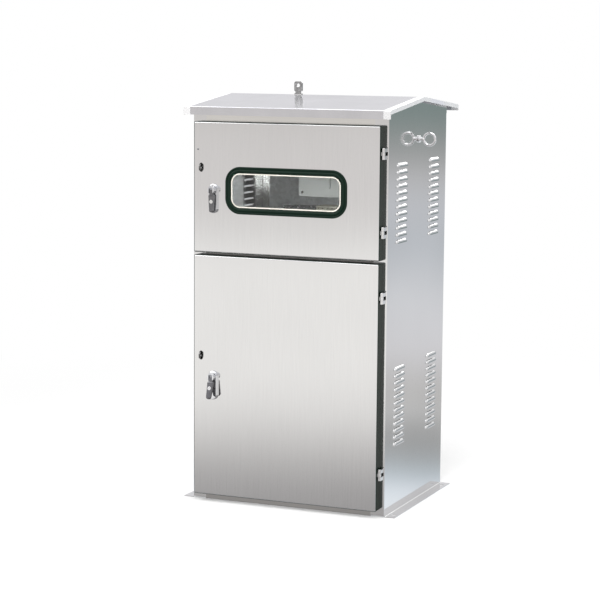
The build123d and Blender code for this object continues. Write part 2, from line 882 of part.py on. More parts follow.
def bar_screws(z, stand):
    """The terminal screws of a neutral or earth bar."""
    y = plate_face - stand - ground_bar[1]
    screws = []
    for i in range(screw_count):
        x = screw_pitch * (i - (screw_count - 1) / 2)
        screw = rod((x, y - screw_height, z), (x, y, z), screw_radius)
        screws.append(screw + rod((x, y, z), (x, y + ground_bar[1], z), screw_radius / 2))
    return screws


def insulator(x, z):
    """A ribbed post between the mounting plate and the neutral bar."""
    y = plate_face - insulator_height
    post = rod((x, y, z), (x, plate_face, z), insulator_radius)
    for share in (0.3, 0.7):
        mid = y + insulator_height * share
        groove = rod((x, mid - 2, z), (x, mid + 2, z), insulator_radius + 1)
        post -= groove - rod((x, mid - 2, z), (x, mid + 2, z), insulator_radius - 2.5)
    return post


def din_rail():
    """The top-hat rail across the foot of the meter plate."""
    half = rail_width / 2
    crown = half - rail_lip
    back = plate_face
    front = plate_face - rail_height
    low_side = ((front, -half), (front, -crown), (back, -crown))
    points = low_side + ((back, crown), (front, crown), (front, half))
    line = FilletPolyline(*points, radius=rail_bend)
    section = make_face(offset(line, amount=rail_sheet, side=Side.LEFT))
    return Pos(0, 0, rail_z) * along_x(section, -rail_length / 2, rail_length / 2)


def terminal_block(x):
    """A rail terminal with hooks behind the lips of the rail and two screw wells."""
    width, height, depth = terminal_size
    back = plate_face - rail_height - rail_sheet
    front = back - depth
    case = block(band(x, width), (front, back + terminal_hook), band(rail_z, height))
    lips = rail_width + 2 * running
    throat = rail_width - 2 * rail_lip + rail_hook_gap
    case -= block(band(x, width), (back, back + rail_sheet + running), band(rail_z, lips))
    case -= block(band(x, width), (back, back + terminal_hook), band(rail_z, throat))
    for end in (-1, 1):
        well_z = rail_z + end * height / 3
        case -= rod((x, front, well_z), (x, front + depth / 4, well_z), width / 4)
    return case


def gland(x, thread, bore):
    """A cable gland through the floor, open from end to end."""
    top = sill_height + sheet
    low = sill_height - gland_below
    body = rod((x, gland_y, low), (x, gland_y, top + gland_above), thread)
    body += along_z(Pos(x, gland_y) * RegularPolygon(thread + gland_rim, 6), top, top + gland_flange)
    cap_top = top + gland_above + gland_flange
    body += rod((x, gland_y, top + gland_above), (x, gland_y, cap_top), thread - gland_cap_step)
    return body - rod((x, gland_y, low), (x, gland_y, cap_top), bore)


def gland_locknut(x, thread):
    """The locknut under the floor."""
    nut = Pos(x, gland_y) * (RegularPolygon(thread + gland_rim, 6) - Circle(thread + running))
    return along_z(nut, sill_height - gland_nut, sill_height)


def stiffener(x):
    """A hat-section stiffener inside the lower door."""
    y = door_front + sheet
    foot, base, crown = (width / 2 for width in stiffener_widths)
    left = ((-foot, 0), (-base, 0), (-crown, stiffener_depth))
    right = tuple((-across, up) for across, up in reversed(left))
    section = folded([(x + across, y + up) for across, up in left + right], sheet, bend)
    low, high = lower_door_z
    return along_z(section, low + 3 * door_lip, high - 3 * door_lip)


os.makedirs("parts", exist_ok=True)

right_side = side_panel()
save("right_side_panel", right_side)
save("left_side_panel", mirror(right_side, Plane.YZ))
save("back_panel", back_panel())
front_rails()
save("bottom_plate", bottom_plate())
save("partition_shelf", partition_shelf())
save("top_tray", top_tray())
save("roof", roof())
save("roof_lug", roof_lug())
save("eye_bolts", eye_bolt(1), eye_bolt(-1))
save("eye_bolt_nuts", eye_bolt_nut(1), eye_bolt_nut(-1))

upper_cuts = along_y(window_outline(sheet_grip), door_front - sheet, door_front + 2 * sheet)
upper_cuts = upper_cuts + eye_cut(upper_eye_z) + lock_cut(upper_lock_z)
save("upper_door_panel", door_pan(upper_door_z) - upper_cuts)
save("lower_door_panel", door_pan(lower_door_z) - eye_cut(lower_eye_z) - lock_cut(lower_lock_z))
save("upper_door_seal", door_seal(upper_door_z, upper_hinge_z))
save("lower_door_seal", door_seal(lower_door_z, lower_hinge_z))
save("lower_door_stiffener", stiffener(0))
save("window_gasket", window_gasket())
save("window_pane", window_pane())

hinge_heights = upper_hinge_z + lower_hinge_z
save("frame_hinge_leaves", *[leaf for z in hinge_heights for leaf in frame_leaf(z)])
save("hinge_pins", *[hinge_pin(z) for z in hinge_heights])
save("upper_hinge_leaves", *[door_leaf(z) for z in upper_hinge_z])
save("lower_hinge_leaves", *[door_leaf(z) for z in lower_hinge_z])
save("padlock_eyes", padlock_eye(upper_eye_z), padlock_eye(lower_eye_z))

for name, lock_z in (("upper", upper_lock_z), ("lower", lower_lock_z)):
    handle = lever(lock_z)
    plug = key_plug(lock_z)
    if name == "lower":
        handle = raised(handle, lock_z)
        plug = raised(plug, lock_z)
    save(f"{name}_lock_housing", lock_housing(lock_z))
    save(f"{name}_lock_spindle", spindle(lock_z))
    save(f"{name}_lock_cam", cam(lock_z))
    save(f"{name}_lock_lever", handle)
    save(f"{name}_key_barrel", plug)

save("lower_mounting_plate", mounting_plate(lower_plate, lower_plate_z))
save("upper_mounting_plate", mounting_plate(upper_plate, upper_plate_z))
corners = plate_points(lower_plate, lower_plate_z) + plate_points(upper_plate, upper_plate_z)
save("plate_standoffs", *[standoff_post(x, z) for x, z in corners])
save("plate_bolts", *[plate_bolt(x, z) for x, z in corners])

save("main_breaker_case", breaker_case(main_size, 0, main_z))
save("main_breaker_toggle", toggle(main_size, 0, main_z))
save("outgoing_breaker_cases", *[breaker_case(branch_size, x, branch_z) for x in branch_places()])
for i, x in enumerate(branch_places()):
    save(f"outgoing_toggle_{i + 1}", toggle(branch_size, x, branch_z))

save("phase_busbars", *[busbar(phase) for phase in range(pole_count)])
save("feeder_links", *feeder_links())
save("branch_links", *branch_links())
save("busbar_supports", busbar_support(-support_x), busbar_support(support_x))
save("neutral_bar", ground_bar_at(neutral_z, insulator_height))
save("earth_bar", ground_bar_at(earth_z, 0))
post_x = ground_bar[0] / 2 - ground_bar_end
save("neutral_insulators", insulator(-post_x, neutral_z), insulator(post_x, neutral_z))
save("bar_screws", *bar_screws(neutral_z, insulator_height), *bar_screws(earth_z, 0))
save("meter_rail", din_rail())
terminals = [terminal_spacing * (i - (terminal_count - 1) / 2) for i in range(terminal_count)]
save("meter_terminals", *[terminal_block(x) for x in terminals])

places = gland_places()
save("incoming_gland", gland(*places[0]))
save("outgoing_glands", *[gland(*place) for place in places[1:]])
save("gland_locknuts", *[gland_locknut(x, thread) for x, thread, bore in places])
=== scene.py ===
import math

import bmesh
import bpy
from mathutils import Matrix, Vector


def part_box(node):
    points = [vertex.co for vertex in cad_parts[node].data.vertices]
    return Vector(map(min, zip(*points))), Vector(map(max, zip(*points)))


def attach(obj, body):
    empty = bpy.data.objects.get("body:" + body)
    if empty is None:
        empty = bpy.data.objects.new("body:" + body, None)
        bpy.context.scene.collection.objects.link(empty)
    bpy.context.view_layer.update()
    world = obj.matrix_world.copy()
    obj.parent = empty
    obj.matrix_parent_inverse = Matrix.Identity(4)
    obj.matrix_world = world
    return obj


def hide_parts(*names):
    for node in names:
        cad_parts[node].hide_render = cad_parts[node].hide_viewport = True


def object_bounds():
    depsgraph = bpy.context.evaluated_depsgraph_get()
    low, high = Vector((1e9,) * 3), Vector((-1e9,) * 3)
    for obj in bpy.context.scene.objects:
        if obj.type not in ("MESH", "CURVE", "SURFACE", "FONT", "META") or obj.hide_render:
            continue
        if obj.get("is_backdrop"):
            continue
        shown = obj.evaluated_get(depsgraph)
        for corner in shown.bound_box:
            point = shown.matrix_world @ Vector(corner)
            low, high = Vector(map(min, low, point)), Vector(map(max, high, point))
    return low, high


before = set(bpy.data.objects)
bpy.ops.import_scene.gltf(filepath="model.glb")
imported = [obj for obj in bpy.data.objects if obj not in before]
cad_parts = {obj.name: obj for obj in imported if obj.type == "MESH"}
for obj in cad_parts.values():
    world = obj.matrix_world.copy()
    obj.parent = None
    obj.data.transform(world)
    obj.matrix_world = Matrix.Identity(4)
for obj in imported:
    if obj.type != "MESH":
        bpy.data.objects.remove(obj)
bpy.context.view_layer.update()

# The camera stands at eye height, to the right of the doors, and looks a little down.
# Its place and lens were fitted to the edges of the box.
camera_place = (2.4339, -5.9286, 1.4933)
camera_yaw = 0.4002
camera_pitch = 0.13354
camera_roll = 0.00767
camera_lens = 118.73
sensor_width = 36.0
turn = Matrix.Rotation(camera_yaw, 4, "Z") @ Matrix.Rotation(math.pi / 2 - camera_pitch, 4, "X")
turn = turn @ Matrix.Rotation(camera_roll, 4, "Z")
bpy.ops.object.camera_add(location=camera_place, rotation=turn.to_euler())
camera = bpy.context.object
camera.data.lens = camera_lens
camera.data.sensor_width = sensor_width
bpy.context.scene.camera = camera
bpy.context.scene.view_settings.view_transform = "Standard"


# The studio floor is pale and keeps the shadow of the box. To the camera it turns into the white
# of the backdrop far from the box, and the steel doesn't mirror it.
def node_of(tree, kind, operation=None, **inputs):
    """A shader node with its operation and some of its inputs set."""
    node = tree.nodes.new("ShaderNode" + kind)
    if operation:
        node.operation = operation
    for name, value in inputs.items():
        node.inputs[name.replace("_", " ")].default_value = value
    return node


def wire(tree, *links):
    """Join an output of one node to an input of another, for each link."""
    for start, output, end, entry in links:
        tree.links.new(start.outputs[output], end.inputs[entry])


def surface(name):
    """A new material, its node tree and its shader."""
    material = bpy.data.materials.new(name)
    material.use_nodes = True
    tree = material.node_tree
    return material, tree, tree.nodes["Principled BSDF"]


white = (1.0, 1.0, 1.0, 1)
floor_colour = (0.82, 0.82, 0.82, 1)
glow_near = 0.18
fade_from = 0.9
fade_to = 3.0
floor_size = 60
floor_drop = 0.0006
bpy.ops.mesh.primitive_plane_add(size=floor_size, location=(0, 0, -floor_drop))
floor = bpy.context.object
floor.name = "studio_floor"
floor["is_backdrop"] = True
floor.visible_glossy = False
material, tree, shader = surface("studio_floor")
tree.nodes.clear()
output = node_of(tree, "OutputMaterial")
matt = node_of(tree, "BsdfDiffuse", Color=floor_colour)
glow = node_of(tree, "Emission", Color=white, Strength=glow_near)
near = node_of(tree, "AddShader")
backdrop = node_of(tree, "Emission", Color=white, Strength=1.0)
path = node_of(tree, "LightPath")
place = node_of(tree, "TexCoord")
reach = node_of(tree, "VectorMath", "LENGTH")
fade = node_of(tree, "MapRange", From_Min=fade_from, From_Max=fade_to)
fade.interpolation_type = "SMOOTHSTEP"
far = node_of(tree, "MixShader")
shown = node_of(tree, "MixShader")
wire(
    tree,
    (matt, "BSDF", near, 0),
    (glow, "Emission", near, 1),
    (place, "Object", reach, 0),
    (reach, "Value", fade, "Value"),
    (fade, "Result", far, "Fac"),
    (near, "Shader", far, 1),
    (backdrop, "Emission", far, 2),
    (path, "Is Camera Ray", shown, "Fac"),
    (matt, "BSDF", shown, 1),
    (far, "Shader", shown, 2),
    (shown, "Shader", output, "Surface"),
)
floor.data.materials.append(material)

# The sky is plain white to the camera. What steel mirrors is a studio in soft bands from the
# ground up: one ramp of tones for the room before the doors and one for the room behind them.
sky_light = 0.52
side_from = -0.25
side_to = 0.45
front_tones = (
    (0.360, (0.33, 0.32, 0.32)),
    (0.386, (0.41, 0.40, 0.40)),
    (0.394, (0.58, 0.565, 0.56)),
    (0.405, (0.90, 0.885, 0.87)),
    (0.412, (1.0, 0.985, 0.965)),
    (0.444, (1.0, 0.985, 0.965)),
    (0.449, (0.86, 0.845, 0.83)),
    (0.457, (0.77, 0.745, 0.735)),
    (0.478, (0.76, 0.735, 0.725)),
    (0.481, (0.65, 0.63, 0.61)),
    (0.540, (0.65, 0.64, 0.64)),
    (0.620, (0.78, 0.77, 0.79)),
    (0.760, (0.90, 0.90, 0.92)),
)
back_tones = (
    (0.380, (0.93, 0.97, 1.0)),
    (0.387, (0.87, 0.93, 1.0)),
    (0.391, (0.52, 0.59, 0.64)),
    (0.396, (0.39, 0.395, 0.395)),
    (0.401, (0.39, 0.39, 0.39)),
    (0.406, (0.62, 0.62, 0.62)),
    (0.411, (0.57, 0.56, 0.55)),
    (0.422, (0.75, 0.745, 0.77)),
    (0.434, (0.73, 0.74, 0.77)),
    (0.448, (0.56, 0.59, 0.63)),
    (0.458, (0.62, 0.635, 0.67)),
    (0.465, (0.55, 0.55, 0.56)),
    (0.470, (0.40, 0.405, 0.405)),
    (0.480, (0.23, 0.285, 0.275)),
    (0.500, (0.22, 0.27, 0.28)),
    (0.540, (0.60, 0.62, 0.64)),
    (0.620, (0.77, 0.76, 0.78)),
    (0.650, (1.0, 1.0, 1.0)),
    (0.760, (1.0, 1.0, 1.0)),
)
world = bpy.data.worlds.new("studio_sky")
bpy.context.scene.world = world
world.use_nodes = True
tree = world.node_tree
tree.nodes.clear()


def tones(stops):
    """A colour ramp through some tones."""
    ramp = node_of(tree, "ValToRGB")
    steps = ramp.color_ramp.elements
    while len(steps) < len(stops):
        steps.new(0.5)
    for step, (position, colour) in zip(steps, stops):
        step.position = position
        step.color = (*colour, 1)
    return ramp


output = node_of(tree, "OutputWorld")
place = node_of(tree, "TexCoord")
split = node_of(tree, "SeparateXYZ")
height = node_of(tree, "MapRange", From_Min=-1.0, From_Max=1.0)
front = tones(front_tones)
back = tones(back_tones)
side = node_of(tree, "MapRange", From_Min=side_from, From_Max=side_to)
mirrored = node_of(tree, "Mix")
mirrored.data_type = "RGBA"
path = node_of(tree, "LightPath")
plain_light = node_of(tree, "Background", Color=white, Strength=sky_light)
mirror_light = node_of(tree, "Background", Strength=1.0)
seen_light = node_of(tree, "Background", Color=white, Strength=1.0)
gloss = node_of(tree, "MixShader")
shown = node_of(tree, "MixShader")
wire(
    tree,
    (place, "Generated", split, "Vector"),
    (split, "Z", height, "Value"),
    (split, "Y", side, "Value"),
    (height, "Result", front, "Fac"),
    (height, "Result", back, "Fac"),
    (side, "Result", mirrored, "Factor"),
    (front, "Color", mirrored, "A"),
    (back, "Color", mirrored, "B"),
    (mirrored, "Result", mirror_light, "Color"),
    (path, "Is Glossy Ray", gloss, "Fac"),
    (plain_light, "Background", gloss, 1),
    (mirror_light, "Background", gloss, 2),
    (path, "Is Camera Ray", shown, "Fac"),
    (gloss, "Shader", shown, 1),
    (seen_light, "Background", shown, 2),
    (shown, "Shader", output, "Surface"),
)

# Five soft lamps light the box. Each has a place, a width and a power, and steel mirrors only
# those that would not lie as a white bar in a door edge or in the side wall.
lamp_aim = Vector((0, 0, 0.6))
lamps = (
    ((0.9, -4.6, 1.55), 1.6, 130, False),
    ((-3.0, -3.0, 3.4), 2.4, 60, True),
    ((3.8, -2.0, 3.0), 2.4, 60, False),
    ((0.5, 3.6, 3.2), 2.6, 60, True),
    ((0.0, -1.8, 4.4), 3.0, 50, True),
)
for lamp_place, size, power, mirrored_in_steel in lamps:
    bpy.ops.object.light_add(type="AREA", location=lamp_place)
    lamp = bpy.context.object
    lamp.data.shape = "SQUARE"
    lamp.data.size = size
    lamp.data.energy = power
    lamp.visible_glossy = mirrored_in_steel
    aim = lamp_aim - Vector(lamp_place)
    lamp.rotation_euler = aim.to_track_quat("-Z", "Y").to_euler()


# Each side of the body is one folded stainless sheet: a stile in front, a flange behind and a
# foot below. Louvres are pressed out of it in four groups, each a hood that is open below.
def deselect():
    """Nothing is selected, so that an operator acts on its own piece alone."""
    bpy.ops.object.select_all(action="DESELECT")


def edit():
    """Go into edit mode on the piece that was just added."""
    bpy.ops.object.mode_set(mode="EDIT")


def leave():
    """Go back to object mode."""
    bpy.ops.object.mode_set(mode="OBJECT")


def everything():
    """In edit mode, select the whole mesh."""
    bpy.ops.mesh.select_all(action="SELECT")


def close_mesh():
    """Turn all faces outward and leave edit mode."""
    everything()
    bpy.ops.mesh.normals_make_consistent(inside=False)
    leave()


def pick(kind, test):
    """In edit mode, select the vertices, whole edges or middles of faces that pass a test."""
    bpy.ops.mesh.select_mode(type=kind)
    bpy.ops.mesh.select_all(action="DESELECT")
    mesh = bmesh.from_edit_mesh(bpy.context.object.data)
    if kind == "VERT":
        chosen = [corner for corner in mesh.verts if test(corner.co)]
    elif kind == "EDGE":
        chosen = [edge for edge in mesh.edges if all(test(end.co) for end in edge.verts)]
    else:
        chosen = [face for face in mesh.faces if test(face.calc_center_median())]
    for part in chosen:
        part.select_set(True)
    bmesh.update_edit_mesh(bpy.context.object.data)


def extrude(shift):
    """Draw the selected edges or faces out by a shift."""
    bpy.ops.mesh.extrude_region_move(TRANSFORM_OT_translate={"value": shift})


def slice_at(point, normal, **which):
    """Cut the whole mesh along a plane."""
    everything()
    bpy.ops.mesh.bisect(plane_co=point, plane_no=normal, **which)


same_place = 1e-5


def at(value, place):
    """Whether a coordinate lies at a place."""
    return abs(value - place) < same_place


def apply_all(piece):
    """Apply the modifiers of a piece in their order."""
    bpy.context.view_layer.objects.active = piece
    for modifier in list(piece.modifiers):
        bpy.ops.object.modifier_apply(modifier=modifier.name)


def place_at_origin():
    """Leave the object at the origin, with its place in its mesh."""
    bpy.ops.object.transform_apply(location=True, rotation=True, scale=True)


def select_alone(piece):
    """Select one piece and make it the active one."""
    deselect()
    piece.select_set(True)
    bpy.context.view_layer.objects.active = piece


def join(*pieces):
    """Make one object of some pieces, and leave it selected."""
    deselect()
    for piece in pieces:
        piece.select_set(True)
    bpy.context.view_layer.objects.active = pieces[0]
    bpy.ops.object.join()
    return pieces[0]


def take_away(piece, tool, operation="DIFFERENCE"):
    """Cut a tool out of a piece."""
    change = piece.modifiers.new("tool", "BOOLEAN")
    change.operation = operation
    change.object = tool
    deselect()
    apply_all(piece)
    bpy.data.objects.remove(tool)


def unite(piece, other):
    """Make one solid of two."""
    take_away(piece, other, "UNION")


def mirrored_copy(piece):
    """A copy of a piece on the other side of the box."""
    select_alone(piece)
    bpy.ops.object.duplicate()
    bpy.ops.transform.mirror(constraint_axis=(True, False, False), center_override=(0, 0, 0))
    place_at_origin()
    edit()
    close_mesh()
    return bpy.context.object


def upright(middle, width, height, rotation=(math.pi / 2, 0, 0)):
    """A flat sheet about a middle, in edit mode. It faces the doors unless it is turned."""
    deselect()
    bpy.ops.mesh.primitive_plane_add(size=1, location=middle, rotation=rotation)
    plane = bpy.context.object
    plane.scale = (width, height, 1)
    place_at_origin()
    edit()
    return plane


def inset(thickness, depth):
    """Draw the selected faces in, and out by a depth."""
    bpy.ops.mesh.inset(thickness=thickness, depth=depth)


def round_corners(radius, segments):
    """Round the selected corners of a flat sheet."""
    bpy.ops.mesh.bevel(offset=radius, segments=segments, affect="VERTICES")


def middle_of(name, axis):
    """Where the middle of a CAD node lies on an axis."""
    low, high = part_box(name)
    return (low[axis] + high[axis]) / 2


def hand_over(name, body, material, slot, *nodes, angle=35):
    """Name and finish the selected piece, hang it on its body and hide the nodes it stands for."""
    piece = bpy.context.object
    place_at_origin()
    bpy.ops.object.shade_smooth_by_angle(angle=math.radians(angle))
    flats = piece.modifiers.new("flats", "WEIGHTED_NORMAL")
    flats.keep_sharp = True
    bpy.ops.object.modifier_apply(modifier=flats.name)
    piece.name = name
    piece.data.name = name
    piece.data.materials.clear()
    piece.data.materials.append(material)
    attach(piece, body)
    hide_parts(*nodes)
    deselect()
    return piece


def shades_of(tree, colour, spread):
    """A ramp from a darker to a paler shade of a colour."""
    ramp = node_of(tree, "ValToRGB")
    for step, position, share in zip(ramp.color_ramp.elements, (0.3, 0.7), (1 - spread, 1 + spread)):
        step.position = position
        step.color = [min(1, c * share) for c in colour] + [1]
    return ramp


def steel(name, colour, roughness, grain, tones=0.05, wave=0.3, ripple=1.6, scratch=0.05):
    """Brushed stainless: grain is how fine the pattern is on each axis."""
    material, tree, shader = surface(name)
    shader.inputs["Metallic"].default_value = 1.0
    place = node_of(tree, "TexCoord")
    stretch = node_of(tree, "Mapping", Scale=grain)
    lines = node_of(tree, "TexNoise", Scale=1.0, Detail=4.0, Roughness=0.7)
    cloud = node_of(tree, "TexNoise", Scale=ripple, Detail=2.0, Roughness=0.5)
    tone = shades_of(tree, colour, tones)
    streak = node_of(tree, "MapRange", To_Min=0.93, To_Max=1.05)
    tint = node_of(tree, "VectorMath", "SCALE")
    rough = node_of(tree, "MapRange", To_Min=roughness * 0.8, To_Max=roughness * 1.2)
    soft = node_of(tree, "Bump", Strength=wave, Distance=0.003)
    fine = node_of(tree, "Bump", Strength=scratch, Distance=0.0003)
    wire(
        tree,
        (place, "Object", stretch, "Vector"),
        (stretch, "Vector", lines, "Vector"),
        (place, "Object", cloud, "Vector"),
        (cloud, "Fac", tone, "Fac"),
        (lines, "Fac", streak, "Value"),
        (tone, "Color", tint, 0),
        (streak, "Result", tint, "Scale"),
        (tint, "Vector", shader, "Base Color"),
        (lines, "Fac", rough, "Value"),
        (rough, "Result", shader, "Roughness"),
        (cloud, "Fac", soft, "Height"),
        (lines, "Fac", fine, "Height"),
        (soft, "Normal", fine, "Normal"),
        (fine, "Normal", shader, "Normal"),
    )
    return material


sheet = 0.0015
bend = 0.003
past = 0.01
foot_width = 0.035
rear_flange = 0.020
louvre_length = 0.090
louvre_depth = 0.0072
louvre_height = 0.0115
louvre_skin = 0.001
louvre_end = 0.013
louvre_split = 0.0002
slot_length = 0.074
slot_height = 0.006
louvre_pitch = 0.0216
louvre_rows = 12
louvre_columns = (-0.150, 0.150)
louvre_groups = (0.3375, 0.9765)
anchor_radius = 0.007
anchor_y = 0.230
anchor_out = 0.0175
side_steel = steel("side_steel", (0.80, 0.80, 0.80), 0.09, (9, 500, 9), wave=0.05, scratch=0.1)

low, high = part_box("right_side_panel")
stile_x = low[0]
side_x = high[0] - foot_width
front_y, rear_y = low[1], high[1]
wall_top = high[2]
row_feet = [
    group + louvre_pitch * (row - (louvre_rows - 1) / 2) - louvre_height / 2
    for group in louvre_groups
    for row in range(louvre_rows)
]
wall_low = sheet + bend

middle = (side_x, 0, (wall_low + wall_top) / 2)
depth = rear_y - front_y - 2 * bend
panel = upright(middle, wall_top - wall_low, depth, rotation=(0, math.pi / 2, 0))
cuts = [((0, 0, 1), (0, 0, foot + rise)) for foot in row_feet for rise in (0, slot_height)]
cuts += [((0, 1, 0), (0, y + end * slot_length / 2, 0)) for y in louvre_columns for end in (-1, 1)]
for normal, point in cuts:
    slice_at(point, normal)


def in_slot(co):
    """Whether a point lies in a slot behind a louvre."""
    across = any(abs(co.y - y) < slot_length / 2 for y in louvre_columns)
    return across and any(0 < co.z - foot < slot_height for foot in row_feet)


pick("FACE", in_slot)
bpy.ops.mesh.delete(type="FACE")
for y, angle, flat in (
    (front_y + bend, math.pi / 2, side_x - bend - stile_x),
    (rear_y - bend, -math.pi / 2, rear_flange - bend),
):
    pick("EDGE", lambda co: at(co.y, y) and at(co.x, side_x))
    bpy.ops.mesh.spin(steps=4, angle=angle, center=(side_x - bend, y, 0), axis=(0, 0, 1))
    extrude((-flat, 0, 0))
pick("EDGE", lambda co: at(co.z, wall_low) and at(co.x, side_x))
bpy.ops.mesh.spin(steps=4, angle=math.pi / 2, center=(side_x + bend, 0, wall_low), axis=(0, 1, 0))
extrude((foot_width - bend, 0, 0))
leave()

thickness = panel.modifiers.new("sheet", "SOLIDIFY")
thickness.thickness = sheet
thickness.offset = -1
apply_all(panel)

for y in (-anchor_y, anchor_y):
    deselect()
    bpy.ops.mesh.primitive_cylinder_add(
        vertices=32, radius=anchor_radius, depth=2 * past, location=(side_x + anchor_out, y, 0)
    )
    take_away(panel, bpy.context.object)

deselect()
bpy.ops.mesh.primitive_uv_sphere_add(
    segments=32, ring_count=16, radius=louvre_depth, rotation=(math.pi / 2, 0, 0)
)
hood = bpy.context.object
place_at_origin()
edit()
for normal in ((1, 0, 0), (0, 0, 1)):
    slice_at((0, 0, 0), normal, clear_inner=True)
everything()
hood_size = (1, louvre_end / louvre_depth, louvre_height / louvre_depth)
bpy.ops.transform.resize(value=hood_size, center_override=(0, 0, 0))
for end in (-1, 1):
    slice_at((0, end * louvre_split, 0), (0, 1, 0))
    pick("VERT", lambda co: co.y * end > louvre_split / 2)
    bpy.ops.transform.translate(value=(0, end * (louvre_length / 2 - louvre_end), 0))
everything()
bpy.ops.transform.translate(value=(side_x - sheet / 4, louvre_columns[0], row_feet[0]))
leave()
thickness = hood.modifiers.new("skin", "SOLIDIFY")
thickness.thickness = louvre_skin
thickness.offset = -1
for count, shift in (
    (louvre_rows, (0, 0, louvre_pitch)),
    (len(louvre_columns), (0, louvre_columns[1] - louvre_columns[0], 0)),
    (len(louvre_groups), (0, 0, louvre_groups[1] - louvre_groups[0])),
):
    row = hood.modifiers.new("row", "ARRAY")
    row.count = count
    row.use_relative_offset = False
    row.use_constant_offset = True
    row.constant_offset_displace = shift
apply_all(hood)
join(panel, hood)
hand_over("right_side", "cabinet", side_steel, "stainless_body", "right_side_panel")
mirrored_copy(panel)
hand_over("left_side", "cabinet", side_steel, "stainless_body", "left_side_panel")


# The window rubber is one extruded profile of dark green EPDM, bent round the cut-out. It grips
# the door sheet outside and the pane inside, with a bead on each side of a groove, front and back.
def mottled(name, colour, roughness, metallic=0.0, speck=0.06, size=60.0, depth=0.0002):
    """A moulded, cast, plated or painted surface with a fine mottle."""
    material, tree, shader = surface(name)
    shader.inputs["Metallic"].default_value = metallic
    place = node_of(tree, "TexCoord")
    mottle = node_of(tree, "TexNoise", Scale=size, Detail=3.0, Roughness=0.6)
    tone = shades_of(tree, colour, speck)
    rough = node_of(tree, "MapRange", To_Min=roughness * 0.8, To_Max=roughness * 1.2)
    bump = node_of(tree, "Bump", Strength=0.25, Distance=depth)
    wire(
        tree,
        (place, "Object", mottle, "Vector"),
        (mottle, "Fac", tone, "Fac"),
        (tone, "Color", shader, "Base Color"),
        (mottle, "Fac", rough, "Value"),
        (rough, "Result", shader, "Roughness"),
        (mottle, "Fac", bump, "Height"),
        (bump, "Normal", shader, "Normal"),
    )
    return material


window_corner = 0.050
gasket_wall = 0.0018
bead_profile = (
    (0.0008, 0.0009),
    (0.0014, 0.0006),
    (0.0022, 0.0001),
    (0.0016, -0.0006),
    (0.0010, -0.0014),
    (0.0008, 0.0),
    (0.0010, 0.0016),
    (0.0014, 0.0013),
    (0.0020, 0.0006),
    (0.0020, -0.0001),
    (0.0022, -0.0010),
    (0.0020, -0.0016),
    (0.0016, -0.0024),
    (0.0009, -0.0012),
)
green_rubber = mottled("green_rubber", (0.004, 0.013, 0.008), 0.34, size=140)
green_rubber.node_tree.nodes["Principled BSDF"].inputs["Specular IOR Level"].default_value = 0.15

low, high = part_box("window_gasket")
door_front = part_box("upper_door_panel")[0][1]
inside_sheet = door_front + sheet
window_middle = ((low[0] + high[0]) / 2, door_front, (low[2] + high[2]) / 2)
rubber = upright(window_middle, high[0] - low[0], high[2] - low[2])
everything()
round_corners(window_corner, 12)
everything()
extrude((0, -gasket_wall, 0))
for thickness, depth in bead_profile:
    inset(thickness, depth)
bpy.ops.mesh.delete(type="FACE")
pick("FACE", lambda co: at(co.y, door_front))
bpy.ops.mesh.delete(type="FACE")
everything()
bpy.ops.mesh.duplicate()
mid_sheet = (door_front + inside_sheet) / 2
bpy.ops.transform.resize(value=(1, -1, 1), center_override=(0, mid_sheet, 0))
inner_rim = door_front - gasket_wall - sum(depth for thickness, depth in bead_profile)
for rim in (door_front, inner_rim):
    pick("EDGE", lambda co: at(co.y, rim) or at(co.y, 2 * mid_sheet - rim))
    bpy.ops.mesh.bridge_edge_loops()
close_mesh()
hand_over("window_rubber", "upper_door", green_rubber, "rubber", "window_gasket", angle=60)


def dress(material, *names):
    """Give CAD nodes a finish."""
    for name in names:
        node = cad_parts[name]
        node.data.materials.clear()
        node.data.materials.append(material)


dress(green_rubber, "upper_door_seal", "lower_door_seal")

# The pane is a clear acrylic sheet with a polished edge. Lamps shine through it, and a cream bead
# of sealant runs round it where it meets the rubber; its pale band is partly a painted highlight.
pane, tree, shader = surface("clear_pane")
shader.inputs["Base Color"].default_value = (0.94, 0.96, 0.95, 1)
shader.inputs["Roughness"].default_value = 0.02
shader.inputs["Transmission Weight"].default_value = 1.0
shader.inputs["IOR"].default_value = 1.49
path = node_of(tree, "LightPath")
through = node_of(tree, "BsdfTransparent", Color=(0.93, 0.95, 0.94, 1))
either = node_of(tree, "MixShader")
output = tree.nodes["Material Output"]
wire(
    tree,
    (path, "Is Shadow Ray", either, "Fac"),
    (shader, "BSDF", either, 1),
    (through, "BSDF", either, 2),
    (either, "Shader", output, "Surface"),
)
dress(pane, "window_pane")

bead_inset = 0.0206
bead_width = 0.0036
bead_height = 0.0010
# The pale cream bead also stands in for the bright band along the pane's edge, a painted highlight.
sealant_highlight_cream = mottled("sealant_highlight_cream", (0.70, 0.67, 0.60), 0.42, size=160, speck=0.04)
low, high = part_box("window_gasket")
pane_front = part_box("window_pane")[0][1]
bead_middle = (window_middle[0], pane_front, window_middle[2])
bead = upright(bead_middle, high[0] - low[0] - 2 * bead_inset, high[2] - low[2] - 2 * bead_inset)
everything()
round_corners(window_corner - bead_inset, 14)
everything()
extrude((0, -bead_height * 0.4, 0))
inset(bead_width * 0.3, bead_height * 0.6)
inset(bead_width * 0.4, 0)
inset(bead_width * 0.3, -bead_height)
bpy.ops.mesh.delete(type="FACE")
pick("FACE", lambda co: at(co.y, pane_front))
bpy.ops.mesh.delete(type="FACE")
pick("EDGE", lambda co: at(co.y, pane_front))
bpy.ops.mesh.bridge_edge_loops()
close_mesh()
hand_over("pane_sealant", "upper_door", sealant_highlight_cream, "rubber", angle=50)


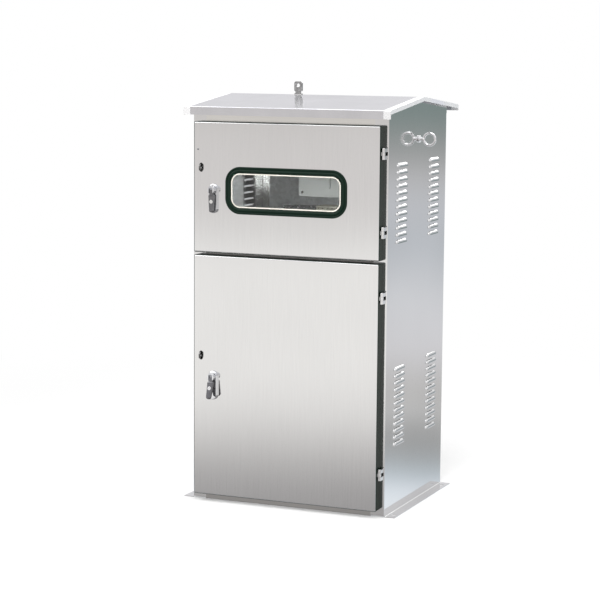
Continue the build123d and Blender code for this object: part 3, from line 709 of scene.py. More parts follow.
# Each lock has a die-cast, chromed escutcheon: a long plate with round ends, drafted sides and a
# shallow field round the handle. A small flat screw holds its top.
lock_flat = 0.0008
lock_wall = 0.4
lock_profile = ((0.0014, 0.45), (0.0006, 0.10), (0.0009, 0.05))
lock_rim = 0.0016
lock_field = 0.0008
screw_radius = 0.0028
screw_height = 0.0006
screw_turn = math.radians(25)
screw_drop = 0.0075
chrome = mottled("chrome", (0.80, 0.81, 0.83), 0.07, 1.0, speck=0.02, size=30, depth=0.0001)
# A darker copy of the chrome, with painted shade, for the escutcheon screws and the door rivet.
chrome_painted_shade = mottled("shaded_chrome", (0.30, 0.31, 0.33), 0.14, 1.0, speck=0.1, size=50)


def soften(piece, width, segments=2):
    """Round the sharp edges of a piece a little."""
    bevel = piece.modifiers.new("edge", "BEVEL")
    bevel.width = width
    bevel.segments = segments
    bevel.limit_method = "ANGLE"
    bevel.angle_limit = math.radians(38)
    apply_all(piece)


for door in ("upper", "lower"):
    low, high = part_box(f"{door}_lock_housing")
    width, proud, height = (high[i] - low[i] for i in range(3))
    middle = ((low[0] + high[0]) / 2, high[1], (low[2] + high[2]) / 2)
    plate = upright(middle, width, height)
    everything()
    round_corners(width / 2 - lock_flat, 14)
    everything()
    extrude((0, -lock_wall * proud, 0))
    for thickness, share in lock_profile:
        inset(thickness, share * proud)
    inset(lock_rim, 0)
    inset(lock_field, -lock_field)
    leave()
    hand_over(f"{door}_escutcheon", f"{door}_door", chrome, "chrome", f"{door}_lock_housing", angle=28)

    deselect()
    bpy.ops.mesh.primitive_cylinder_add(
        vertices=24,
        radius=screw_radius,
        depth=screw_height,
        location=(middle[0], low[1] + lock_field - screw_height / 2, high[2] - screw_drop),
        rotation=(math.pi / 2, 0, screw_turn),
    )
    place_at_origin()
    screw = bpy.context.object
    soften(screw, screw_height / 3)
    hand_over(f"{door}_escutcheon_screw", f"{door}_door", chrome_painted_shade, "chrome", angle=40)


# The turning barrel of a lock ends in a fork, and the handle hangs on a pin through it. Both are
# zinc castings, polished and chromed. The handle is thick at its root and narrow at its tip.
def bar(start, end, radius, sides=32):
    """A round bar between two points, as the selected piece."""
    axis = Vector(end) - Vector(start)
    deselect()
    bpy.ops.mesh.primitive_cylinder_add(
        vertices=sides,
        radius=radius,
        depth=axis.length,
        location=(Vector(start) + Vector(end)) / 2,
        rotation=axis.to_track_quat("Z", "Y").to_euler(),
    )
    place_at_origin()
    return bpy.context.object


def stud(x, z, start, end, radius, sides=32):
    """A round bar between two depths."""
    return bar((x, start, z), (x, end, z), radius, sides)


def post(x, y, foot, top, radius, sides=32):
    """A round bar between two heights."""
    return bar((x, y, foot), (x, y, top), radius, sides)


def brick(low, high):
    """A block between two corners, as the selected piece."""
    deselect()
    bpy.ops.mesh.primitive_cube_add(size=1, location=(Vector(low) + Vector(high)) / 2)
    block = bpy.context.object
    block.scale = Vector(high) - Vector(low)
    place_at_origin()
    return block


def slab(x, z, width, height, start, end):
    """A block about a middle, between two depths."""
    return brick((x - width / 2, start, z - height / 2), (x + width / 2, end, z + height / 2))


fork_rim = 0.0015
fork_slot = 0.013
fork_depth = 0.0132
fork_seat = 0.0003
spindle_radius = 0.008
tenon = 0.008
rivet_radius = 0.006
rivet_round = 0.0006
lever_pin_radius = 0.002
lever_pin_reach = 0.009
running = 0.0001
root_drop = 0.014
tongue_width = 0.0124
tongue_root = 0.002
tongue_round = 0.0005
lever_round = 0.0012
lever_border = 0.0022
lever_hollow = 0.0007
tip_corner = 0.0063
root_corner = 0.0058
lever_narrow = 0.72
key_head = 0.001
keyway_width = 0.0012
keyway_height = 0.006
keyway_depth = 0.0008
lower_swing = math.radians(18)
key_steel = mottled("key_barrel", (0.86, 0.86, 0.85), 0.12, 1.0, size=80)
# The handle's chrome is darkened to a dark grey: a painted dark reflection of the room it mirrors.
handle_chrome_painted_reflection = mottled("handle_chrome_painted_reflection", (0.20, 0.20, 0.21), 0.13, 1.0, speck=0.12, size=60)

lever_low, lever_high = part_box("upper_lock_lever")
key_low, key_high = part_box("upper_key_barrel")
upper_axis_z = middle_of("upper_lock_spindle", 2)
pin_y = middle_of("upper_lock_lever", 1)
half = (lever_high[1] - lever_low[1]) / 2
lever_width = lever_high[0] - lever_low[0]
lever_length = upper_axis_z - lever_low[2]
key_radius = (key_high[0] - key_low[0]) / 2 - key_head

for door, swing in (("upper", 0.0), ("lower", lower_swing)):
    low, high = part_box(f"{door}_lock_spindle")
    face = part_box(f"{door}_lock_housing")[0][1]
    x = middle_of(f"{door}_lock_spindle", 0)
    z = middle_of(f"{door}_lock_spindle", 2)
    fork_radius = (high[0] - low[0]) / 2
    cam_low, cam_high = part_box(f"{door}_lock_cam")

    fork = stud(x, z, low[1], face - fork_seat, fork_radius, sides=48)
    take_away(fork, slab(x, z, fork_slot, 4 * past, low[1] - past, low[1] + fork_depth))
    soften(fork, fork_rim, 3)
    barrel = stud(x, z, face - fork_seat, cam_low[1], spindle_radius, sides=40)
    square = slab(x, z, tenon, tenon, cam_low[1], cam_high[1])
    rivet = stud(x, z, cam_high[1], high[1], rivet_radius, sides=24)
    soften(rivet, rivet_round)
    left, right = x - lever_pin_reach, x + lever_pin_reach
    pin = bar((left, pin_y, z), (right, pin_y, z), lever_pin_radius, sides=20)
    join(fork, barrel, square, rivet, pin)
    hand_over(f"{door}_fork", f"{door}_lock_barrel", chrome, "chrome", f"{door}_lock_spindle")

    middle = (x, lever_high[1], z - (root_drop + lever_length) / 2)
    lever = upright(middle, lever_width, lever_length - root_drop)
    tip_z = z - lever_length
    pick("VERT", lambda co: at(co.z, tip_z))
    bpy.ops.transform.resize(value=(lever_narrow, 1, 1), center_override=(x, lever_high[1], tip_z))
    round_corners(tip_corner, 8)
    pick("VERT", lambda co: at(co.z, z - root_drop))
    round_corners(root_corner, 6)
    everything()
    bpy.ops.mesh.normals_make_consistent(inside=False)
    extrude((0, -2 * half + 2 * lever_round, 0))
    inset(lever_round * 0.3, lever_round)
    inset(lever_round * 0.7, lever_round * 0.7)
    inset(lever_round, lever_round * 0.3)
    inset(lever_border, 0)
    inset(lever_hollow, -lever_hollow)
    close_mesh()
    key_z = z + middle_of("upper_key_barrel", 2) - upper_axis_z
    take_away(lever, stud(x, key_z, pin_y - 2 * past, pin_y + 2 * past, key_radius + running))
    left, right = x - tongue_width / 2, x + tongue_width / 2
    tongue = brick((left, pin_y - half, z - root_drop - tongue_root), (right, pin_y + half, z))
    unite(tongue, bar((left, pin_y, z), (right, pin_y, z), half))
    eyelet = bar((left - past, pin_y, z), (right + past, pin_y, z), lever_pin_radius + running, sides=20)
    take_away(tongue, eyelet)
    soften(tongue, tongue_round)
    join(lever, tongue)
    bpy.ops.transform.rotate(value=swing, orient_axis="X", center_override=(x, pin_y, z))
    hand_over(f"{door}_handle", f"{door}_lever", handle_chrome_painted_reflection, "chrome", f"{door}_lock_lever")

    key_front = key_low[1]
    plug = stud(x, key_z, key_front, key_front + key_head - running, key_radius + key_head)
    soften(plug, key_head / 3)
    plug = join(plug, stud(x, key_z, key_front + key_head / 2, key_high[1], key_radius))
    keyway = (keyway_width, keyway_height, key_front - key_head, key_front + keyway_depth)
    take_away(plug, slab(x, key_z, *keyway))
    select_alone(plug)
    bpy.ops.transform.rotate(value=swing, orient_axis="X", center_override=(x, pin_y, z))
    hand_over(f"{door}_key_face", f"{door}_key", key_steel, "chrome", f"{door}_key_barrel")


# Four small stainless hinges hang the doors. Two fingers run back to the stile and one runs to
# the door, each rolled round the pin. The pin has a domed head.
finger_round = 0.0006
strip_half = 0.003
hinge_steel = mottled("hinge_steel", (0.84, 0.84, 0.84), 0.16, 1.0, size=90)
hinge_x = middle_of("hinge_pins", 0)
hinge_y = middle_of("hinge_pins", 1)
knuckle_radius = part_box("frame_hinge_leaves")[1][0] - hinge_x
knuckle_height = 0.011
knuckle_step = 0.0114
pin_radius = 0.003
pin_head = 0.0015
pin_head_radius = 0.0045
pin_head_round = 0.0009
door_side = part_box("upper_door_panel")[1][0]
hinge_heights = {"upper": (0.893, 1.134), "lower": (0.138, 0.691)}


def finger(z, low, high):
    """One rolled finger of a hinge, with its strip between two corners in plan."""
    foot, top = z - knuckle_height / 2, z + knuckle_height / 2
    barrel = post(hinge_x, hinge_y, foot, top, knuckle_radius)
    unite(barrel, brick((*low, foot), (*high, top)))
    take_away(barrel, post(hinge_x, hinge_y, foot - past, top + past, pin_radius, sides=24))
    soften(barrel, finger_round)
    return barrel


frame_fingers = []
pins = []
for door, heights in hinge_heights.items():
    door_fingers = []
    for z in heights:
        strip_low = (door_side, hinge_y - strip_half)
        door_fingers.append(finger(z, strip_low, (hinge_x, hinge_y + strip_half)))
        for side in (-1, 1):
            strip_high = (hinge_x + knuckle_radius, front_y)
            frame_fingers.append(finger(z + side * knuckle_step, (hinge_x, hinge_y), strip_high))
        foot = z - knuckle_step - knuckle_height / 2
        top = z + knuckle_step + knuckle_height / 2
        pins.append(post(hinge_x, hinge_y, foot, top, pin_radius - running, sides=24))
        head = post(hinge_x, hinge_y, top, top + pin_head, pin_head_radius, sides=24)
        soften(head, pin_head_round, 3)
        pins.append(head)
    join(*door_fingers)
    leaves = f"{door}_hinge_leaves"
    hand_over(f"{door}_door_fingers", f"{door}_door", hinge_steel, "hinge_steel", leaves)
join(*frame_fingers)
hand_over("stile_fingers", "cabinet", hinge_steel, "hinge_steel", "frame_hinge_leaves")
join(*pins)
hand_over("domed_pins", "cabinet", hinge_steel, "hinge_steel", "hinge_pins")


# The doors and the body are brushed stainless. Each door is one folded sheet, brushed upright,
# and a small rivet, darkened with painted shade, sits near the top left corner of the upper one.
rivet_x, rivet_z = -0.299, 1.132
rivet_head = 0.0028
rivet_proud = 0.0016
door_steel = steel("door_steel", (0.80, 0.80, 0.80), 0.07, (520, 9, 9), tones=0.02, wave=0.05, ripple=2.2)
body_steel = steel("body_steel", (0.80, 0.80, 0.79), 0.18, (520, 9, 9), wave=0.15)
shelf_steel = steel("shelf_steel", (0.78, 0.78, 0.78), 0.26, (9, 420, 9))
dress(door_steel, "upper_door_panel", "lower_door_panel", "lower_door_stiffener")
dress(body_steel, "back_panel")
dress(shelf_steel, "bottom_plate", "partition_shelf")
dress(side_steel, "top_tray")
button = stud(rivet_x, rivet_z, door_front, door_front - rivet_proud, rivet_head, sides=24)
soften(button, rivet_proud * 0.8, 4)
hand_over("upper_door_rivet", "upper_door", chrome_painted_shade, "chrome")


# The rails between the stiles are brushed along. The header is as pale as the doors, and the two
# below it are duller and darker, with the shade of the gaps painted into their colour.
header_steel = steel("header_steel", (0.82, 0.81, 0.78), 0.14, (9, 9, 500), wave=0.10)
rail_steel_painted_shade = steel("rail_steel_painted_shade", (0.46, 0.45, 0.44), 0.34, (9, 9, 500))
dress(header_steel, "header_rail")
dress(rail_steel_painted_shade, "mid_rail", "sill_rail")


# The roof is one stainless sheet with its ridge pressed in. Its corners and rakes are rougher,
# and a painted highlight makes them paler than the brushed slopes.
roof_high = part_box("roof")[1]
pale_edge_width = 0.0235
pale_edge_from = roof_high[0] - pale_edge_width
pale_edge_blend = 0.0005
# Gain on the colour of the corners and rakes: a painted highlight that makes them paler.
painted_light_gain = 1.35
edge_roughness = 0.62
roof_steel = steel("roof_steel", (0.75, 0.75, 0.78), 0.14, (520, 9, 9), tones=0.07, wave=0.15, ripple=5.0)
tree = roof_steel.node_tree
shader = tree.nodes["Principled BSDF"]
place = node_of(tree, "TexCoord")
axes = node_of(tree, "SeparateXYZ")
across = node_of(tree, "Math", "ABSOLUTE")
ends = (pale_edge_from - pale_edge_blend, pale_edge_from + pale_edge_blend)
edge = node_of(tree, "MapRange", From_Min=ends[0], From_Max=ends[1])
paler = node_of(tree, "MapRange", To_Min=1.0, To_Max=painted_light_gain)
tint = node_of(tree, "VectorMath", "SCALE")
duller = node_of(tree, "Mix", B=edge_roughness)
plain = shader.inputs["Base Color"].links[0]
gloss = shader.inputs["Roughness"].links[0]
wire(
    tree,
    (place, "Object", axes, "Vector"),
    (axes, "X", across, 0),
    (across, "Value", edge, "Value"),
    (edge, "Result", paler, "Value"),
    (plain.from_node, plain.from_socket.name, tint, 0),
    (paler, "Result", tint, "Scale"),
    (edge, "Result", duller, "Factor"),
    (gloss.from_node, gloss.from_socket.name, duller, "A"),
    (tint, "Vector", shader, "Base Color"),
    (duller, "Result", shader, "Roughness"),
)
dress(roof_steel, "roof")


# The lug on the ridge is cut from flat bar, drilled for a shackle and left dull. A bead of weld
# along each of its long sides holds it.
bar_steel = mottled("bar_steel", (0.36, 0.36, 0.36), 0.34, 1.0, speck=0.25, size=120)
weld_steel = mottled("weld_bead", (0.50, 0.49, 0.48), 0.38, 1.0, speck=0.3, size=300, depth=0.0006)
weld_radius = 0.0022
weld_ripple = 0.0045
weld_waist = 0.72
weld_short = 0.001
dress(bar_steel, "roof_lug")
low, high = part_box("roof_lug")
ridge = roof_high[2]
for side, y in (("front", low[1]), ("rear", high[1])):
    bar((low[0] + weld_short, y, ridge), (high[0] - weld_short, y, ridge), weld_radius, sides=16)
    edit()
    for step in range(1, 2 * round((high[0] - low[0]) / weld_ripple)):
        cut_x = low[0] + step * weld_ripple / 2
        slice_at((cut_x, 0, 0), (1, 0, 0))
        if step % 2:
            pick("VERT", lambda co: at(co.x, cut_x))
            waist = (1, weld_waist, weld_waist)
            bpy.ops.transform.resize(value=waist, center_override=(cut_x, y, ridge))
    leave()
    hand_over(f"{side}_lug_weld", "cabinet", weld_steel, "stainless_roof", angle=60)


# A plate of stainless bar, welded to the stile, stands through a slot in each door and takes a
# padlock. It is left as it was cut, and its near-black colour is painted shade from the slot.
padlock_eye_painted_shade = mottled("padlock_eye_painted_shade", (0.20, 0.20, 0.20), 0.30, 1.0, speck=0.1, size=90)
dress(padlock_eye_painted_shade, "padlock_eyes")


# The lifting eyes are drop forged with a collar, polished, and bolted through the side walls.
# The flow of the forging is rounded where ring, neck and collar meet.
ring_wire = 0.0042
collar_radius = 0.011
collar_height = 0.006
collar_round = 0.0018
neck_radius = 0.0062
shank_radius = 0.0048
shank_round = 0.0008
overlap = 0.001
forge_voxel = 0.0008
bolt_end = 0.3145
eye_polish = mottled("polished_eye", (0.86, 0.86, 0.87), 0.10, 1.0, speck=0.05, size=70)
low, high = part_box("eye_bolts")
eye_z = middle_of("eye_bolts", 2)
ring_radius = (high[2] - low[2]) / 2 - ring_wire
ring_x = high[0] - ring_radius - ring_wire
deselect()
bpy.ops.mesh.primitive_torus_add(
    location=(ring_x, 0, eye_z),
    rotation=(math.pi / 2, 0, 0),
    major_segments=72,
    minor_segments=24,
    major_radius=ring_radius,
    minor_radius=ring_wire,
)
place_at_origin()
ring = bpy.context.object
collar_x = side_x + collar_height
collar = bar((side_x, 0, eye_z), (collar_x, 0, eye_z), collar_radius, sides=48)
soften(collar, collar_round, 3)
neck = bar((collar_x - overlap, 0, eye_z), (ring_x - ring_radius, 0, eye_z), neck_radius)
eye = join(ring, collar, neck)
remesh = eye.modifiers.new("forge", "REMESH")
remesh.mode = "VOXEL"
remesh.voxel_size = forge_voxel
blend = eye.modifiers.new("blend", "SMOOTH")
blend.factor = 0.5
blend.iterations = 7
apply_all(eye)
shank = bar((bolt_end, 0, eye_z), (side_x + overlap, 0, eye_z), shank_radius)
soften(shank, shank_round)
eye = join(eye, shank)
join(eye, mirrored_copy(eye))
hand_over("lifting_eyes", "cabinet", eye_polish, "hinge_steel", "eye_bolts", angle=70)


# A hexagon nut, chamfered on its outer face, holds each eye bolt inside the wall. The latch cams
# are pressed from plate, and both are zinc plated.
def hexagon(start, end, across_corners, edge=0.0006):
    """A hexagon bar between two points with its corners eased, as the selected piece."""
    nut = bar(start, end, across_corners / 2, sides=6)
    soften(nut, edge, 2)
    return nut


zinc = mottled("bright_zinc", (0.66, 0.67, 0.69), 0.26, 1.0, speck=0.14, size=110)
low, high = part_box("eye_bolt_nuts")
nut_across = high[1] - low[1]
nut_height = 0.008
nut_bore = 0.005
nuts = []
for side in (-1, 1):
    inside = side * high[0]
    nut = hexagon((inside, 0, eye_z), (inside - side * nut_height, 0, eye_z), nut_across)
    take_away(nut, bar((inside + 2 * past, 0, eye_z), (inside - 2 * past, 0, eye_z), nut_bore))
    nuts.append(nut)
join(*nuts)
hand_over("eye_nuts", "cabinet", zinc, "zinc", "eye_bolt_nuts")
dress(zinc, "upper_lock_cam", "lower_lock_cam")


# The mounting plates are galvanised sheet with turned back edges. They stand on turned spacers
# off the rear wall, and a hexagon bolt with a pressed flange holds each corner.
crystal_size = 95.0
crystal_contrast = 0.12
board = mottled("galvanised_board", (0.64, 0.65, 0.66), 0.46, 1.0, speck=0.08, size=220)
tree = board.node_tree
shader = tree.nodes["Principled BSDF"]
place = node_of(tree, "TexCoord")
crystals = node_of(tree, "TexVoronoi", Scale=crystal_size)
grey = node_of(tree, "SeparateXYZ")
shades = (1 - crystal_contrast, 1 + crystal_contrast)
gain = node_of(tree, "MapRange", To_Min=shades[0], To_Max=shades[1])
tint = node_of(tree, "VectorMath", "SCALE")
plain = shader.inputs["Base Color"].links[0]
wire(
    tree,
    (place, "Object", crystals, "Vector"),
    (crystals, "Color", grey, "Vector"),
    (grey, "X", gain, "Value"),
    (plain.from_node, plain.from_socket.name, tint, 0),
    (gain, "Result", tint, "Scale"),
    (tint, "Vector", shader, "Base Color"),
)
dress(board, "upper_mounting_plate", "lower_mounting_plate")
dress(zinc, "plate_standoffs")
board_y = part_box("lower_mounting_plate")[0][1]
bolt_inset = 0.030
bolt_flange = 0.0012
bolt_across = 0.015
bolt_shank = 0.0039
head_share = 0.93
head_front, shank_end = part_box("plate_bolts")[0][1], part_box("plate_bolts")[1][1]
bolts = []
for plate_name in ("lower_mounting_plate", "upper_mounting_plate"):
    low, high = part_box(plate_name)
    for x in (low[0] + bolt_inset, high[0] - bolt_inset):
        for z in (low[2] + bolt_inset, high[2] - bolt_inset):
            seat = (x, board_y - bolt_flange / 2, z)
            bolts.append(hexagon((x, head_front, z), seat, bolt_across * head_share))
            flange = stud(x, z, board_y - bolt_flange, board_y, bolt_across / 2, sides=28)
            soften(flange, bolt_flange / 3)
            bolts += [flange, stud(x, z, board_y, shank_end, bolt_shank, sides=20)]
join(*bolts)
hand_over("flanged_bolts", "cabinet", zinc, "zinc", "plate_bolts")


# Cheese head screws with a slot hold small things and clamp wires. Each is a plated turning.
slot_width = 0.28
slot_share = 0.5
screw_round = 0.25


def slotted_screw(x, y, z, radius, height, turned=0.0):
    """A cheese head screw that faces the doors, its underside at y."""
    head = stud(x, z, y - height, y, radius, sides=28)
    soften(head, height * screw_round)
    slot = slab(x, z, radius * 2.4, radius * slot_width, y - height * 2, y - height * slot_share)
    slot.select_set(True)
    bpy.ops.transform.rotate(value=turned, orient_axis="Y", center_override=(x, y, z))
    take_away(head, slot)
    return head


# A bare white board of pressed laminate is screwed on the upper plate for a meter, above the
# rail. Slots in it take the meter's own screws.
meter_board_size = (0.340, 0.200)
meter_board_foot = 0.952
meter_board_sheet = 0.006
meter_board_corner = 0.008
meter_board_round = 0.0008
meter_slot = (0.0052, 0.045)
meter_slot_x = (-0.055, 0.055)
meter_slot_inset = 0.05
board_screw = (0.0042, 0.0022)
board_screw_inset = 0.014
laminate = mottled("white_laminate", (0.88, 0.88, 0.87), 0.40, size=240, speck=0.02)
screw_steel = mottled("screw_steel", (0.62, 0.60, 0.52), 0.25, 1.0, speck=0.1, size=400)
half_width = meter_board_size[0] / 2
meter_board_top = meter_board_foot + meter_board_size[1]
meter_board_front = board_y - meter_board_sheet
low_corner = (-half_width, meter_board_front, meter_board_foot)
meter_board = brick(low_corner, (half_width, board_y, meter_board_top))
edit()
bpy.ops.mesh.select_mode(type="EDGE")
bpy.ops.mesh.select_all(action="DESELECT")
mesh = bmesh.from_edit_mesh(meter_board.data)
for edge in mesh.edges:
    edge.select_set(abs(edge.verts[0].co.y - edge.verts[1].co.y) > meter_board_sheet / 2)
bmesh.update_edit_mesh(meter_board.data)
bpy.ops.mesh.bevel(offset=meter_board_corner, segments=6, affect="EDGES")
leave()
for x in meter_slot_x:
    for z in (meter_board_foot + meter_slot_inset, meter_board_top - meter_slot_inset):
        take_away(meter_board, slab(x, z, *meter_slot, board_y - 2 * past, board_y + past / 10))
soften(meter_board, meter_board_round)
hand_over("meter_board", "cabinet", laminate, "insulator")

screws = []
for side in (-1, 1):
    x = side * (half_width - board_screw_inset)
    for z in (meter_board_foot + board_screw_inset, meter_board_top - board_screw_inset):
        screws.append(slotted_screw(x, meter_board_front, z, *board_screw, 0.8 * side + z))
join(*screws)
hand_over("meter_board_screws", "cabinet", screw_steel, "zinc")


# Each breaker is a moulded case, black and slightly rough. On top of the case that the frame
# gives lie a raised collar round its handle, barriers between its poles, vents and cover screws.
case_black = mottled("case_black", (0.040, 0.041, 0.043), 0.42, size=900, speck=0.18, depth=0.00015)
handle_black = mottled("handle_black", (0.018, 0.018, 0.019), 0.28, size=500, speck=0.2)
mark_white = mottled("mark_white", (0.72, 0.72, 0.70), 0.45, size=300)
mark_green = mottled("mark_green", (0.02, 0.25, 0.07), 0.45, size=300)
test_yellow = mottled("test_yellow", (0.72, 0.46, 0.03), 0.40, size=300)
dress(case_black, "main_breaker_case", "outgoing_breaker_cases")
breaker_step = 0.007
breaker_shoulder = 0.034
toggle_well = 0.032
well_width = 0.0188
collar_share = 0.46
collar_border = 0.006
collar_proud = 0.0025
collar_inset = 0.003
collar_sunk = 0.0005
moulded_round = 0.0008
rib_share = 0.36
rib_width = 0.0024
rib_proud = 0.0006
rib_round = 0.0004
rib_sunk = 0.0004
rib_short = 0.004
poles = 3
barrier_width = 0.0032
barrier_drop = 0.0012
barrier_round = 0.0005
barrier_ends = (0.0003, 0.0005)
vents = 9
vent_share = 0.052
vent_inset = 0.006
vent_size = (0.0014, 0.007)
vent_proud = 0.0009
vent_sunk = 0.0003
cover_screw_share = 0.43
cover_screw = (0.0026, 0.0012)
clamp_screw = (0.0046, 0.003)
clamp_proud = 0.005
pocket_depth = 0.016
pocket_height = 0.020
button_share = 0.33
button_drop = 0.018
button_proud = 0.0016
button_radius = 0.0032
mark_size = (0.012, 0.0022)
mark_front = 0.0031
mark_back = 0.002
mark_gap = 0.003
mark_round = 0.0003


def breaker(name, x, z, size):
    """What stands on the front of one breaker case."""
    width, height, depth = size
    front = board_y - depth
    collar_top = front - collar_proud
    collar_height = toggle_well + 2 * collar_border
    collar = slab(x, z, width * collar_share, collar_height, collar_top, front + collar_sunk)
    edit()
    pick("FACE", lambda co: at(co.y, collar_top))
    inset(collar_inset, 0)
    leave()
    soften(collar, moulded_round, 3)
    take_away(collar, slab(x, z, well_width, toggle_well, front - past, front + past))
    moulded = [collar]
    face = height / 2 - breaker_shoulder
    for side in (-1, 1):
        rib_x = x + side * width * rib_share
        rib_height = 2 * (face - rib_short)
        rib = slab(rib_x, z, rib_width, rib_height, front - rib_proud, front + rib_sunk)
        soften(rib, rib_round)
        moulded.append(rib)
    for end in (-1, 1):
        for pole in range(1, poles):
            wall_x = x + width / poles * (pole - poles / 2)
            near, far = face + barrier_ends[0], height / 2 - barrier_ends[1]
            foot, top = sorted((z + end * near, z + end * far))
            wall = brick(
                (wall_x - barrier_width / 2, front + barrier_drop, foot),
                (wall_x + barrier_width / 2, front + breaker_step + rib_sunk, top),
            )
            soften(wall, barrier_round)
            moulded.append(wall)
        for vent in range(vents):
            vent_x = x + (vent - vents // 2) * width * vent_share
            vent_z = z + end * (face - vent_inset)
            moulded.append(slab(vent_x, vent_z, *vent_size, front - vent_proud, front + vent_sunk))
    join(*moulded)
    hand_over(f"{name}_moulded_front", "cabinet", case_black, "breaker", angle=30)

    screws = []
    for side in (-1, 1):
        for end in (-1, 1):
            corner = (x + side * width * cover_screw_share, front, z + end * (face - vent_inset))
            screws.append(slotted_screw(*corner, *cover_screw, 0.6 * side + end))
        for pole in range(poles):
            clamp_x = x + width / poles * (pole - (poles - 1) / 2)
            clamp_y = front + breaker_step + pocket_depth - clamp_proud
            clamp_z = z + side * (height / 2 - pocket_height / 2)
            screws.append(slotted_screw(clamp_x, clamp_y, clamp_z, *clamp_screw, 0.4 * pole + side))
    join(*screws)
    hand_over(f"{name}_screws", "cabinet", screw_steel, "zinc")

    button_x = x + width * button_share
    button = stud(button_x, z - button_drop, front - button_proud, front, button_radius, sides=24)
    soften(button, moulded_round, 3)
    hand_over(f"{name}_test_button", "cabinet", test_yellow, "breaker")
    for colour, material, up in (("white", mark_white, 1), ("green", mark_green, -1)):
        mark_z = z + up * (toggle_well / 2 + mark_gap)
        mark = slab(x, mark_z, *mark_size, front - mark_front, front - mark_back)
        soften(mark, mark_round)
        hand_over(f"{name}_{colour}_mark", "cabinet", material, "breaker")


low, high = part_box("main_breaker_case")
main_size = [high[i] - low[i] for i in (0, 2, 1)]
breaker("main_breaker", 0, middle_of("main_breaker_case", 2), main_size)
low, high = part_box("outgoing_breaker_cases")
branch_size = (0.075, high[2] - low[2], high[1] - low[1])
branch_z = middle_of("outgoing_breaker_cases", 2)
branch_pitch = 0.160
branches = (1, 2, 3)
for number in branches:
    breaker(f"outgoing_breaker_{number}", branch_pitch * (number - 2), branch_z, branch_size)
dress(handle_black, "main_breaker_toggle", *[f"outgoing_toggle_{number}" for number in branches])


# The phases are flat copper bars, not tinned and gone a little brown. Joggled links of the
# same strip join them to the breakers, and a plated bolt clamps each overlap.
copper = mottled("busbar_copper", (0.72, 0.34, 0.19), 0.26, 1.0, speck=0.16, size=26)
brass = mottled("bar_brass", (0.74, 0.54, 0.24), 0.24, 1.0, speck=0.10, size=50)
red_brown = mottled("moulded_red_brown", (0.26, 0.045, 0.022), 0.40, size=420, speck=0.2)
dress(copper, "phase_busbars", "feeder_links", "branch_links")
dress(brass, "neutral_bar", "earth_bar")
dress(red_brown, "busbar_supports", "neutral_insulators")
bar_heights = (0.485, 0.455, 0.425)
bar_fronts = (0.190, 0.175, 0.160)
bar_thickness = 0.005
clamp_bolt = 0.0098
clamp_head = 0.0035
support_x = 0.215
support_front = 0.155
support_head = 0.0034
support_reach = 0.015


def clamp(x, z, front, height=clamp_head):
    """The hexagon head of a bolt that clamps an overlap of bars."""
    return hexagon((x, front - height, z), (x, front, z), clamp_bolt)


bolts = []
for phase, (z, front) in enumerate(zip(bar_heights, bar_fronts)):
    bolts.append(clamp(main_size[0] / poles * (phase - 1), z, front - bar_thickness))
    for number in branches:
        x = branch_pitch * (number - 2) + branch_size[0] / poles * (phase - 1)
        bolts.append(clamp(x, z, front))
for side in (-1, 1):
    for z in (bar_heights[0] + support_reach, bar_heights[-1] - support_reach):
        bolts.append(clamp(side * support_x, z, support_front, support_head))
join(*bolts)
hand_over("busbar_bolts", "cabinet", zinc, "zinc")


# Eighteen slotted screws clamp the wires on the neutral and earth bars. Each is a plated
# turning, and its shank sits in a tapped hole through the bar.
clamp_pitch = 0.034
clamp_count = 9
bar_screw = (0.005, 0.004)
screws = []
for name in ("neutral_bar", "earth_bar"):
    low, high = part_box(name)
    z = middle_of(name, 2)
    for place in range(clamp_count):
        x = clamp_pitch * (place - (clamp_count - 1) / 2)
        screws.append(slotted_screw(x, low[1], z, *bar_screw, 0.7 * place))
        screws.append(stud(x, z, low[1], high[1], bar_screw[0] / 2, sides=16))
join(*screws)
hand_over("bar_clamp_screws", "cabinet", screw_steel, "zinc", "bar_screws")


# The meter rail is a plated top-hat rail, and ten feed-through terminals hang on it. Each has
# two clamp screws down its wells.
terminal_beige = mottled("terminal_beige", (0.52, 0.49, 0.41), 0.45, size=520, speck=0.05)
dress(zinc, "meter_rail")
dress(terminal_beige, "meter_terminals")
low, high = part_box("meter_terminals")
terminal_count = 10
terminal_pitch = 0.016
terminal_screw = (0.0034, 0.004)
well_depth = 0.015
well_reach = (high[2] - low[2]) / 3
screws = []
for place in range(terminal_count):
    x = terminal_pitch * (place - (terminal_count - 1) / 2)
    for end in (-1, 1):
        z = middle_of("meter_terminals", 2) + end * well_reach
        screws.append(slotted_screw(x, low[1] + well_depth, z, *terminal_screw, 0.5 * place + end))
join(*screws)
hand_over("terminal_screws", "cabinet", screw_steel, "zinc")


# The cable glands are black nylon: a threaded body through the floor, a hexagon flange with a
# locknut below it, and a domed cap with grip flutes round a rubber sleeve.
def turned_ring(profile, x, y, segments):
    """A ring turned from a closed profile of radii and heights, as the selected piece."""
    deselect()
    radius, height = profile[0]
    bpy.ops.mesh.primitive_circle_add(vertices=segments, radius=radius, location=(x, y, height))
    ring = bpy.context.object
    place_at_origin()
    edit()
    bpy.ops.mesh.select_mode(type="EDGE")
    everything()
    for step in [*profile[1:], profile[0]]:
        extrude((0, 0, step[1] - height))
        share = step[0] / radius
        bpy.ops.transform.resize(value=(share, share, 1), center_override=(x, y, step[1]))
        radius, height = step
    everything()
    bpy.ops.mesh.remove_doubles(threshold=same_place)
    close_mesh()
    return ring


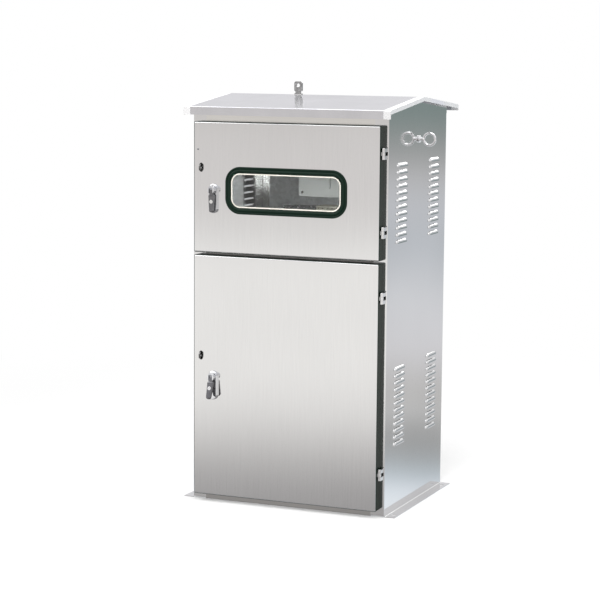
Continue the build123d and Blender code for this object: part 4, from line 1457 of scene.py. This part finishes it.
gland_nylon = mottled("gland_nylon", (0.030, 0.031, 0.033), 0.38, size=420, speck=0.15)
sleeve_rubber = mottled("sleeve_rubber", (0.012, 0.012, 0.012), 0.6, size=300)
thread_pitch = 0.0025
thread_depth = 0.0009
flange_rim = 0.005
flange_height = 0.005
hexagon_round = 0.0008
neck_in = 0.0002
groove_in = 0.0012
groove = (0.001, 0.0022)
dome_from = 0.020
dome_shoulder = 0.0245
dome_in = (0.0008, 0.0013, 0.0019)
dome_edge = 0.0012
mouth = 0.0005
foot_edge = 0.0008
sleeve_profile = ((0, 0.001), (0.0012, 0.0016), (0.0022, 0.006), (0, 0.012))
flute_count = 14
flute_foot = 0.0035
flute_length = 0.013
flute_out = 0.0006
flute_share = 0.085
rim_grip = 0.0006
nut_grip = 0.0004
gland_sides = 48
incoming_size = (0.024, 0.018)
outgoing_size = (0.012, 0.009)
outgoing_pitch = 0.110
outgoing_start = -0.055
floor_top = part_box("bottom_plate")[1][2]
nut_foot, nut_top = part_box("gland_locknuts")[0][2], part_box("gland_locknuts")[1][2]
foot, cap_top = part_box("incoming_gland")[0][2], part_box("incoming_gland")[1][2]
gland_y = middle_of("incoming_gland", 1)
rim_top = floor_top + flange_height
glands = [("incoming_gland", middle_of("incoming_gland", 0), *incoming_size, ["incoming_gland"])]
for number in branches:
    covers = ["outgoing_glands"] if number == 1 else []
    x = outgoing_start + outgoing_pitch * (number - 1)
    glands.append((f"outgoing_gland_{number}", x, *outgoing_size, covers))

locknuts = []
sleeves = []
for name, x, thread, bore, covers in glands:
    outside = []
    for step in range(2 * int((floor_top - foot) / thread_pitch)):
        outside.append((thread - thread_depth * (step % 2), foot + step * thread_pitch / 2))
    outside += [
        (thread - neck_in, floor_top),
        (thread - neck_in, rim_top + groove[0]),
        (thread - groove_in, rim_top + groove[0]),
        (thread - groove_in, rim_top + groove[1]),
        (thread - neck_in, rim_top + groove[1]),
        (thread - neck_in, floor_top + dome_from),
        (thread - dome_in[0], floor_top + dome_shoulder),
        (thread - dome_in[1], cap_top - dome_edge),
        (thread - dome_in[2], cap_top),
        (bore + mouth, cap_top),
        (bore, cap_top - 2 * mouth),
        (bore, foot + foot_edge),
        (bore + 0.75 * foot_edge, foot),
    ]
    body = turned_ring(outside, x, gland_y, gland_sides)
    flutes = []
    for flute in range(flute_count):
        angle = 2 * math.pi * flute / flute_count
        across = Vector((math.cos(angle), math.sin(angle), 0)) * (thread + flute_out)
        start = Vector((x, gland_y, rim_top + flute_foot)) + across
        flutes.append(bar(start, start + Vector((0, 0, flute_length)), thread * flute_share, sides=12))
    take_away(body, join(*flutes))
    nut_size = (2 * (thread + flange_rim), hexagon_round)
    rim = hexagon((x, gland_y, floor_top), (x, gland_y, rim_top), *nut_size)
    bored = (x, gland_y, floor_top - past, floor_top + 2 * past, thread - rim_grip, gland_sides)
    take_away(rim, post(*bored))
    join(body, rim)
    hand_over(name, "cabinet", gland_nylon, "gland", *covers, angle=32)
    locknut = hexagon((x, gland_y, nut_foot), (x, gland_y, nut_top), *nut_size)
    bored = (x, gland_y, nut_foot - past, nut_top + past, thread - nut_grip, gland_sides)
    take_away(locknut, post(*bored))
    locknuts.append(locknut)
    lip = [(bore - inward, cap_top - drop) for inward, drop in sleeve_profile]
    sleeves.append(turned_ring(lip, x, gland_y, gland_sides))
join(*locknuts)
hand_over("nylon_locknuts", "cabinet", gland_nylon, "gland", "gland_locknuts")
join(*sleeves)
hand_over("gland_sleeves", "cabinet", sleeve_rubber, "gland", angle=60)

shown = [list(corner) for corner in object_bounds()]
